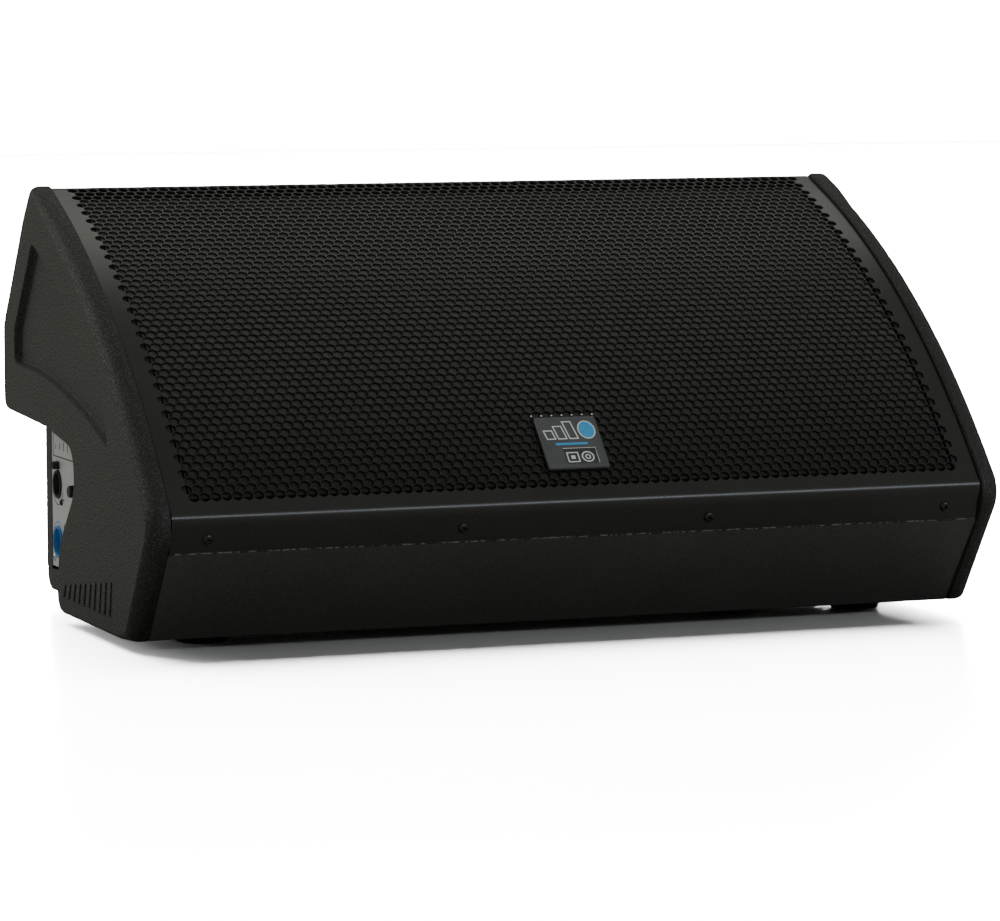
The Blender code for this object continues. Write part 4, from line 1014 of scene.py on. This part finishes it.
def make_panel_print():
    """Outlines, ticks and scales printed on the connector panel, and the screws that hold it."""
    matrix = panel_matrix(XLR_IN_AT)
    face = -(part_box("connector_panel")[0].x + CAVITY)
    low, high = Vector((-0.011, 0.0195)), Vector((0.125, 0.056))
    lines = [stroke([(low.x, low.y), (high.x, low.y), (high.x, high.y), (low.x, high.y)], 0.0009, True)]
    marks, blue = [], []
    margin, step, clear_of_lift = 0.006, 0.0105, 0.0125
    for k in range(9):
        x = low.x + margin + step * k
        if abs(x - panel_place(LIFT_AT).x) < clear_of_lift:
            continue
        foot, bar = low.y + 0.005, low.y + 0.0185
        lines.append(stroke([(x, foot), (x, foot + 0.003 + 0.0016 * ((k * 5) % 4))], 0.0011))
        lines.append(stroke([(x - 0.0022, bar), (x + 0.0042, bar)], 0.0007))
    arc_radius, tick = 0.0142, 0.0018
    for at, start, sweep, steps, width, group in (
            (XLR_IN_AT, 200, 140, 16, 0.0007, lines), (XLR_LINK_AT, 200, 140, 16, 0.0007, lines),
            (POWER_IN_AT, 35, 110, 12, 0.0009, blue), (POWER_LINK_AT, 35, 110, 12, 0.0009, lines)):
        group.append(stroke([panel_place(at) + arc_radius * turn(radians(start + sweep * k / steps))
                             for k in range(steps + 1)], width))
    for at, radius, count, start, sweep in ((LEVEL_AT, 0.0072, 11, -60, 300),
                                            (PRESET_AT, 0.0078, 3, 30, 120)):
        for k in range(count):
            way = turn(radians(start + sweep * k / (count - 1)))
            ends = [panel_place(at) + way * reach for reach in (radius, radius + tick)]
            marks.append(stroke(ends, 0.0006))
    for at, shift, size in ((XLR_IN_AT, (0.0125, -0.0105), (0.0042, 0.0012)),
                            (POWER_IN_AT, (0.015, 0.009), (0.0012, 0.005)),
                            (XLR_LINK_AT, (-0.013, -0.0105), (0.0042, 0.0012))):
        corner = panel_place(at) + Vector(shift)
        marks.append([rounded(corner, corner + Vector(size), 0.0003)])
    for name, look, groups in (("outline", DARK_INK, lines), ("dark", DARK_INK, marks),
                               ("blue", BLUE_INK, blue)):
        flat_piece(f"panel_print_{name}", groups, look, face - 0.00005, 0.00015, slot="panel_aluminium",
                   matrix=matrix, sharp=40)
    screws = [(0.05, -0.156), (-0.106, -0.156), (-0.106, -0.262), (0.05, -0.262), (-0.028, -0.264)]
    for k, at in enumerate(screws):
        where = panel_matrix(at) @ Matrix.Translation((0, 0, face))
        hex_screw(f"panel_screw_{k + 1}", 0.003, where, BRIGHT_STEEL if k % 2 else BLACK_STEEL,
                  "panel_aluminium", dome=0.0012)
    return face


def make_socket(name, at, look, slot, shell, core):
    """A socket's bezel and insert, and its matrix."""
    matrix = panel_matrix(at)
    lathe(f"{name}_shell", shell, look, matrix, 72, slot=slot, stands_for=[name], sharp=35)
    if core:
        lathe(f"{name}_core", core, look, matrix, slot=slot)
    return matrix


def make_signal_sockets(face):
    """Signal sockets with fixing screws and three contacts: holes in the input's core, pins in the link."""
    shell = [(0.0001, -0.0118), (0.0084, -0.0118), (0.0084, 0.0002), (0.0087, 0.0008), (0.0092, 0.001),
             (0.0098, 0.0009), (0.01, 0.0004), (0.01, -0.002), (0.0105, -0.0021),
             (0.0105, -0.018), (0.0001, -0.018)]
    core = [(0.0001, -0.0118), (0.0066, -0.0118), (0.0066, -0.0046), (0.0063, -0.0041), (0.0001, -0.004)]
    pin = [(0.0012, -0.0117), (0.0012, -0.0048), (0.0009, -0.0043), (0.0004, -0.0042)]
    hole = [(0.0013, -0.0041), (0.0013, -0.0037), (0.0009, -0.0037), (0.0009, -0.0039), (0.0005, -0.0039)]
    contact_circle = 0.0035
    for name, at, insert, contact in (("xlr_input", XLR_IN_AT, core, hole),
                                      ("xlr_link", XLR_LINK_AT, None, pin)):
        matrix = make_socket(name, at, BLACK, "socket_black", shell, insert)
        for k in range(3):
            angle = radians(60 + 120 * k)
            place = (contact_circle * sin(angle), contact_circle * cos(angle), 0)
            lathe(f"{name}_contact_{k + 1}", contact, BRASS, matrix @ Matrix.Translation(place), 20,
                  slot="socket_black")
        for k, (dx, dy) in enumerate(((-0.0096, 0.0118), (0.0096, -0.0118))):
            hex_screw(f"{name}_screw_{k + 1}", 0.0024, matrix @ Matrix.Translation((dx, dy, face)),
                      BLACK_STEEL if k else BRIGHT_STEEL, "socket_black", dome=0.0012)


def make_power_sockets():
    """Power sockets with three keys round the insert."""
    shell = [(0.0001, -0.0128), (0.009, -0.0128), (0.0092, 0.0002), (0.0096, 0.0008), (0.0102, 0.001),
             (0.011, 0.0009), (0.0112, 0.0004), (0.0112, -0.002), (0.0117, -0.0021),
             (0.0117, -0.018), (0.0001, -0.018)]
    core = [(0.005, -0.0129), (0.005, -0.005), (0.0046, -0.0045), (0.0034, -0.0045),
            (0.003, -0.006), (0.0001, -0.006)]
    key = rounded((-0.0013, 0.0052), (0.0013, 0.0089), 0.0004)
    keys = [[[Matrix.Rotation(radians(90 + 120 * k), 2) @ p for p in key]] for k in range(3)]
    for name, at, look, slot in (("power_inlet", POWER_IN_AT, BLUE, "socket_blue"),
                                 ("power_link", POWER_LINK_AT, GREY, "socket_grey")):
        matrix = make_socket(name, at, look, slot, shell, core)
        flat_piece(f"{name}_keys", keys, BLACK, -0.0128, 0.007, slot=slot, matrix=matrix, sharp=35)


def make_controls():
    """Knobs with grips and marks, the catch of the signal input, the slider and the light."""
    matrix = panel_matrix(LEVEL_AT)
    rows = [(0.003, -0.003), (0.003, 0.001), (0.0045, 0.0012, 24), (0.0045, 0.002, 24, 0.0003),
            (0.0042, 0.0086, 24, 0.0003), (0.004, 0.0096, 24, 0.00005), (0.0036, 0.01),
            (0.0026, 0.01), (0.0024, 0.0098)]
    lathe("level_knob_cap", rows, BLACK, matrix, 144, body="level_knob", slot="knob_black",
          stands_for=["level_knob"], sharp=35)
    flat_piece("level_knob_mark", [[circle(0.0007, (0, 0.003), 20)]], WHITE_INK, 0.0099, 0.0001,
               body="level_knob", slot="knob_black", matrix=matrix)
    matrix = panel_matrix(PRESET_AT)
    rows = [(0.003, -0.003), (0.003, 0.0006), (0.0047, 0.0008), (0.0047, 0.002, 12, 0.0003),
            (0.0045, 0.0026, 12, 0.0003), (0.0041, 0.003)]
    lathe("preset_knob_cap", rows, GREY, matrix, 144, body="preset_knob", slot="knob_grey",
          stands_for=["preset_knob"], sharp=35)
    mark = rounded((-0.0005, 0.0008), (0.0005, 0.0036), 0.0002)
    flat_piece("preset_knob_mark", [[mark]], DARK_INK, 0.00285, 0.00015, body="preset_knob",
               slot="knob_grey", matrix=matrix)
    ridged_button("xlr_latch_button", "xlr_latch", "xlr_latch", "socket_black", 4)
    ridged_button("ground_lift_button", "ground_lift_slider", "ground_lift", "knob_black", 3)
    rows = [(0.0016, -0.0038), (0.0016, -0.0004), (0.0013, 0.0004), (0.0009, 0.0009), (0.0004, 0.0012)]
    lathe("status_lens", rows, LENS, panel_matrix(STATUS_AT), 32, slot="indicator_lens",
          stands_for=["status_light"])


def ridged_button(name, node, body, slot, ridges):
    """A small black button with ridges on its outer face, filling a node's box."""
    low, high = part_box(node)
    half = (high - low) / 2
    matrix = frame_matrix((low + high) / 2, -BACKWARD, UP)
    form = bmesh.new()
    across, tall, deep = half.y, half.z, half.x
    rings = []
    for inset, height in ((0.0, -deep), (0.0, deep - 0.0008), (0.0002, deep - 0.0004)):
        points = rounded((-across + inset, -tall + inset), (across - inset, tall - inset), 0.0005, 3)
        rings.append(ring(form, [(p.x, p.y, height) for p in points]))
    skin(form, rings)
    step = 2 * across / (ridges + 1)
    for k in range(ridges):
        x = -across + step * (k + 1)
        bar = rounded((x - step * 0.25, -tall + 0.0004), (x + step * 0.25, tall - 0.0004), 0.0002)
        flat_shapes(form, [bar], deep - 0.0005, 0.0005, 0.0001)
    return piece(name, form, BLACK, body=body, slot=slot, stands_for=[node], matrix=matrix, sharp=35)


# ---------------------------------------------------------------- drivers
def walled(curve, wall):
    """A line of (radius, height) places, and back along it this far below."""
    return curve + [(r, h - wall) for r, h in reversed(curve)]


def make_woofer():
    """The cone with its roll, spider, cap and coil, the magnet, and the screws of the cast basket."""
    matrix = baffle_matrix(WOOFER_AT)
    count = 96

    def ring_piece(name, rows, look, **where):
        return lathe(name, rows, look, matrix, count, closed=True, **where)

    cone = [(0.033 + 0.0917 * t, -0.051 + 0.048 * t ** 1.16) for t in [k / 16 for k in range(17)]]
    ring_piece("woofer_cone_paper", walled(cone, 0.0016), CONE, body="woofer_moving", slot="cone_paper",
               stands_for=["woofer_cone"])
    cap = [(0.0395 * sin(pi / 2 * k / 12), -0.0468 + 0.0178 * cos(pi / 2 * k / 12))
           for k in range(1, 13)]
    under = [(r * 0.96, h - 0.0014) for r, h in reversed(cap[:-1])]
    lathe("woofer_cap", cap + [(0.038, -0.0476)] + under, CONE, matrix, count, body="woofer_moving",
          slot="cone_paper", stands_for=["woofer_dust_cap"])
    coil = [(0.033, -0.053), (0.033, -0.0935), (0.0316, -0.0935), (0.0316, -0.053)]
    ring_piece("voice_coil_winding", coil, COPPER, body="woofer_moving", slot="coil_copper",
               stands_for=["voice_coil"])
    roll = [(0.125 + 0.012 * t, -0.0022 + 0.005 * t + 0.0062 * sin(pi * t) ** 0.8)
            for t in [k / 14 for k in range(15)]]
    flexing(ring_piece("woofer_roll", walled(roll, 0.0011), SURROUND, body=None, slot="surround_rubber",
                       stands_for=["woofer_surround"]), matrix, 0.1372, 0.1248)
    folds = [(0.0334 + 0.0291 * t, -0.0646 + 0.0011 * sin(2 * pi * 3 * t))
             for t in [k / 48 for k in range(49)]]
    flexing(ring_piece("woofer_spider_cloth", walled(folds, 0.0008), SPIDER, body=None,
                       slot="spider_cloth", stands_for=["woofer_spider"]), matrix, 0.0625, 0.0334)
    ring_piece("woofer_magnet_stack", [
        (0.0305, -0.08), (0.0305, -0.108), (0.034, -0.108), (0.034, -0.0793), (0.0735, -0.0793),
        (0.075, -0.08), (0.075, -0.087), (0.0728, -0.0872), (0.0728, -0.1076), (0.075, -0.108),
        (0.075, -0.1143), (0.074, -0.1152), (0.02, -0.1178), (0.019, -0.116), (0.019, -0.0812),
        (0.02, -0.0802)], FERRITE, slot="ferrite", stands_for=["woofer_magnet"])
    for k in range(8):
        place = 0.1487 * turn(pi * (2 * k + 1) / 8)
        hex_screw(f"woofer_screw_{k + 1}", 0.0042, matrix @ Matrix.Translation((*place, 0.005)),
                  BLACK_STEEL, "driver_casting", dome=0.002)


def flexing(thing, matrix, outer, inner):
    """Lets a ring bend between the cabinet at its outer radius and the cone at its inner one."""
    centre = matrix.translation
    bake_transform(thing, "root", "woofer_moving", start=tuple(centre + matrix.to_3x3() @ Vector((outer, 0, 0))),
             end=tuple(centre + matrix.to_3x3() @ Vector((inner, 0, 0))))
    back = matrix.inverted()
    weights = thing.data.attributes["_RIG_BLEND"].data
    for vert in thing.data.vertices:
        share = (outer - (back @ vert.co).xy.length) / (outer - inner)
        share = min(max(share, 0.0), 1.0)
        weights[vert.index].value = share * share * (3 - 2 * share)


# ---------------------------------------------------------------- carried-over parts
def dress(look, width, *nodes):
    """Gives frame nodes a finish, and breaks their sharp edges."""
    for node in nodes:
        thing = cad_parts[node]
        thing.data.materials.clear()
        thing.data.materials.append(look)
        weld = thing.modifiers.new("weld", "WELD")
        weld.merge_threshold = 1e-5
        if width:
            bevel = thing.modifiers.new("bevel", "BEVEL")
            bevel.width = width
            bevel.segments = 2
            bevel.limit_method = "ANGLE"
            bevel.angle_limit = radians(40)
        evened = thing.modifiers.new("evened_normals", "WEIGHTED_NORMAL")
        evened.keep_sharp = True


def dress_frame():
    dress(COAT, 0.001, "bottom_board", "rear_slope_panel", "rear_lower_panel")
    dress(SMOOTH_COAT, 0.0006, "kick_panel", "nose_rail")
    dress(SMOOTH_COAT, 0.0004, "notch_plate_right")
    dress(PLYWOOD, 0.0006, "side_wall_left", "side_wall_right", "baffle_board", "inner_brace")
    dress(PANEL, 0.0002, "connector_panel")
    dress(DARK_GREY, 0.0004, "level_pot", "preset_switch")
    dress(CASTING, 0.0008, "woofer_basket")
    dress(FERRITE, 0.0008, "hf_driver_body")
    dress(TITANIUM, 0.0, "hf_diaphragm")
    dress(HORN, 0.0005, "horn_flare")
    dress(BLACK, 0.0005, "hf_rear_cap", "port_tube_upper", "port_tube_lower")
    dress(HEATSINK, 0.0004, "amp_heatsink")
    dress(BOARD, 0.0002, "input_board", "power_board")
    dress(CORE, 0.0008, "power_transformer")
    dress(SLEEVE, 0.0008, "capacitor_1", "capacitor_2")
    dress(CABLE, 0.0, "woofer_cable", "hf_cable")


# ---------------------------------------------------------------- stage
def aim(thing, target):
    way = Vector(target) - thing.location
    thing.rotation_euler = way.to_track_quat("-Z", "Y").to_euler()


def lamp(name, place, target, size, power, color=(1, 1, 1)):
    data = bpy.data.lights.new(name, "AREA")
    data.shape = "RECTANGLE"
    data.size, data.size_y = size
    data.energy = power
    data.color = color
    thing = new_object(name, data, place)
    aim(thing, target)
    return thing


def make_camera():
    yaw, pitch, roll = (radians(angle) for angle in (20.6, 5.42, 0.22))
    forward = Vector((sin(yaw) * cos(pitch), cos(yaw) * cos(pitch), -sin(pitch)))
    right = Vector((cos(yaw), -sin(yaw), 0))
    down = forward.cross(right)
    right, down = (right * cos(roll) + down * sin(roll),
                   down * cos(roll) - right * sin(roll))
    data = bpy.data.cameras.new("camera")
    data.sensor_width = 36.0
    data.lens = 166.97
    data.clip_end = 200
    thing = new_object("camera", data)
    matrix = Matrix((right, -down, -forward)).transposed().to_4x4()
    matrix.translation = Vector((-1.1163, -2.9818, 0.4053))
    thing.matrix_world = matrix
    bpy.context.scene.camera = thing


def make_floor():
    """A large pale floor with a soft gloss, dark to all but the camera so that it throws no light back."""
    form = bmesh.new()
    bmesh.ops.create_grid(form, x_segments=8, y_segments=8, size=11)
    mesh = bpy.data.meshes.new("floor")
    form.to_mesh(mesh)
    form.free()
    floor = new_object("floor", mesh)
    look = Look("floor_gloss", 0.22, Specular_IOR_Level=0.5)
    look.color((0.7, 0.7, 0.7))
    path = look.add("ShaderNodeLightPath")
    dark = look.add("ShaderNodeBsdfDiffuse", Color=(0.01, 0.01, 0.009))
    both = look.add("ShaderNodeMixShader", Fac=path.outputs["Is Camera Ray"])
    look.join(both.inputs[1], dark.outputs["BSDF"])
    look.join(both.inputs[2], look.shader.outputs["BSDF"])
    look.join(look.tree.nodes["Material Output"].inputs["Surface"], both.outputs["Shader"])
    mesh.materials.append(look.material)
    return floor


def make_world():
    """White to the camera, and a dim even surround for everything else."""
    world = bpy.data.worlds.new("studio")
    bpy.context.scene.world = world
    world.use_nodes = True
    tree = world.node_tree
    back = tree.nodes["Background"]
    back.inputs["Color"].default_value = (1.0, 1.0, 0.92, 1)
    back.inputs["Strength"].default_value = 0.3
    white = tree.nodes.new("ShaderNodeBackground")
    white.inputs["Strength"].default_value = 40.0
    path = tree.nodes.new("ShaderNodeLightPath")
    both = tree.nodes.new("ShaderNodeMixShader")
    tree.links.new(path.outputs["Is Camera Ray"], both.inputs["Fac"])
    tree.links.new(back.outputs["Background"], both.inputs[1])
    tree.links.new(white.outputs["Background"], both.inputs[2])
    tree.links.new(both.outputs["Shader"], tree.nodes["World Output"].inputs["Surface"])


def make_lights(floor):
    lamp("key_left", (-2.1, 1.5, 1.4), (-0.1, 0.0, 0.14), (1.2, 1.2), 14, (1.0, 1.0, 0.9))
    lamp("overhead", (0.2, 1.6, 2.4), (0.0, 0.0, 0.15), (2.8, 1.0), 7.0, (1.0, 1.0, 0.91))
    lamp("front_strip", (1.0, -2.5, 1.65), (0.0, -0.16, 0.09), (2.8, 0.5), 21, (0.86, 0.94, 1.0))
    only_floor = bpy.data.collections.new("lit_by_sun")
    only_floor.objects.link(floor)
    data = bpy.data.lights.new("floor_sun", "SUN")
    data.energy = 105
    data.angle = radians(70)
    sun = new_object("floor_sun", data, (0.3, 3.2, 4.5))
    aim(sun, (0, 0, 0))
    backdrop = lamp("floor_backdrop", (1.5, 10.9, 2.3), (1.5, 0.0, 2.3), (36.0, 3.4), 28000)
    for thing in (sun, backdrop):
        thing.light_linking.receiver_collection = only_floor


# ---------------------------------------------------------------- build
make_camera()
for side, label in ((-1, "left"), (1, "right")):
    make_cheek(side, label)
    make_emboss(side, label)
make_grille()
make_foam()
make_wadding()
make_grille_screws()
make_badge()
make_feet()
panel_face = make_panel_print()
make_signal_sockets(panel_face)
make_power_sockets()
make_controls()
make_woofer()
dress_frame()
make_world()
make_lights(make_floor())
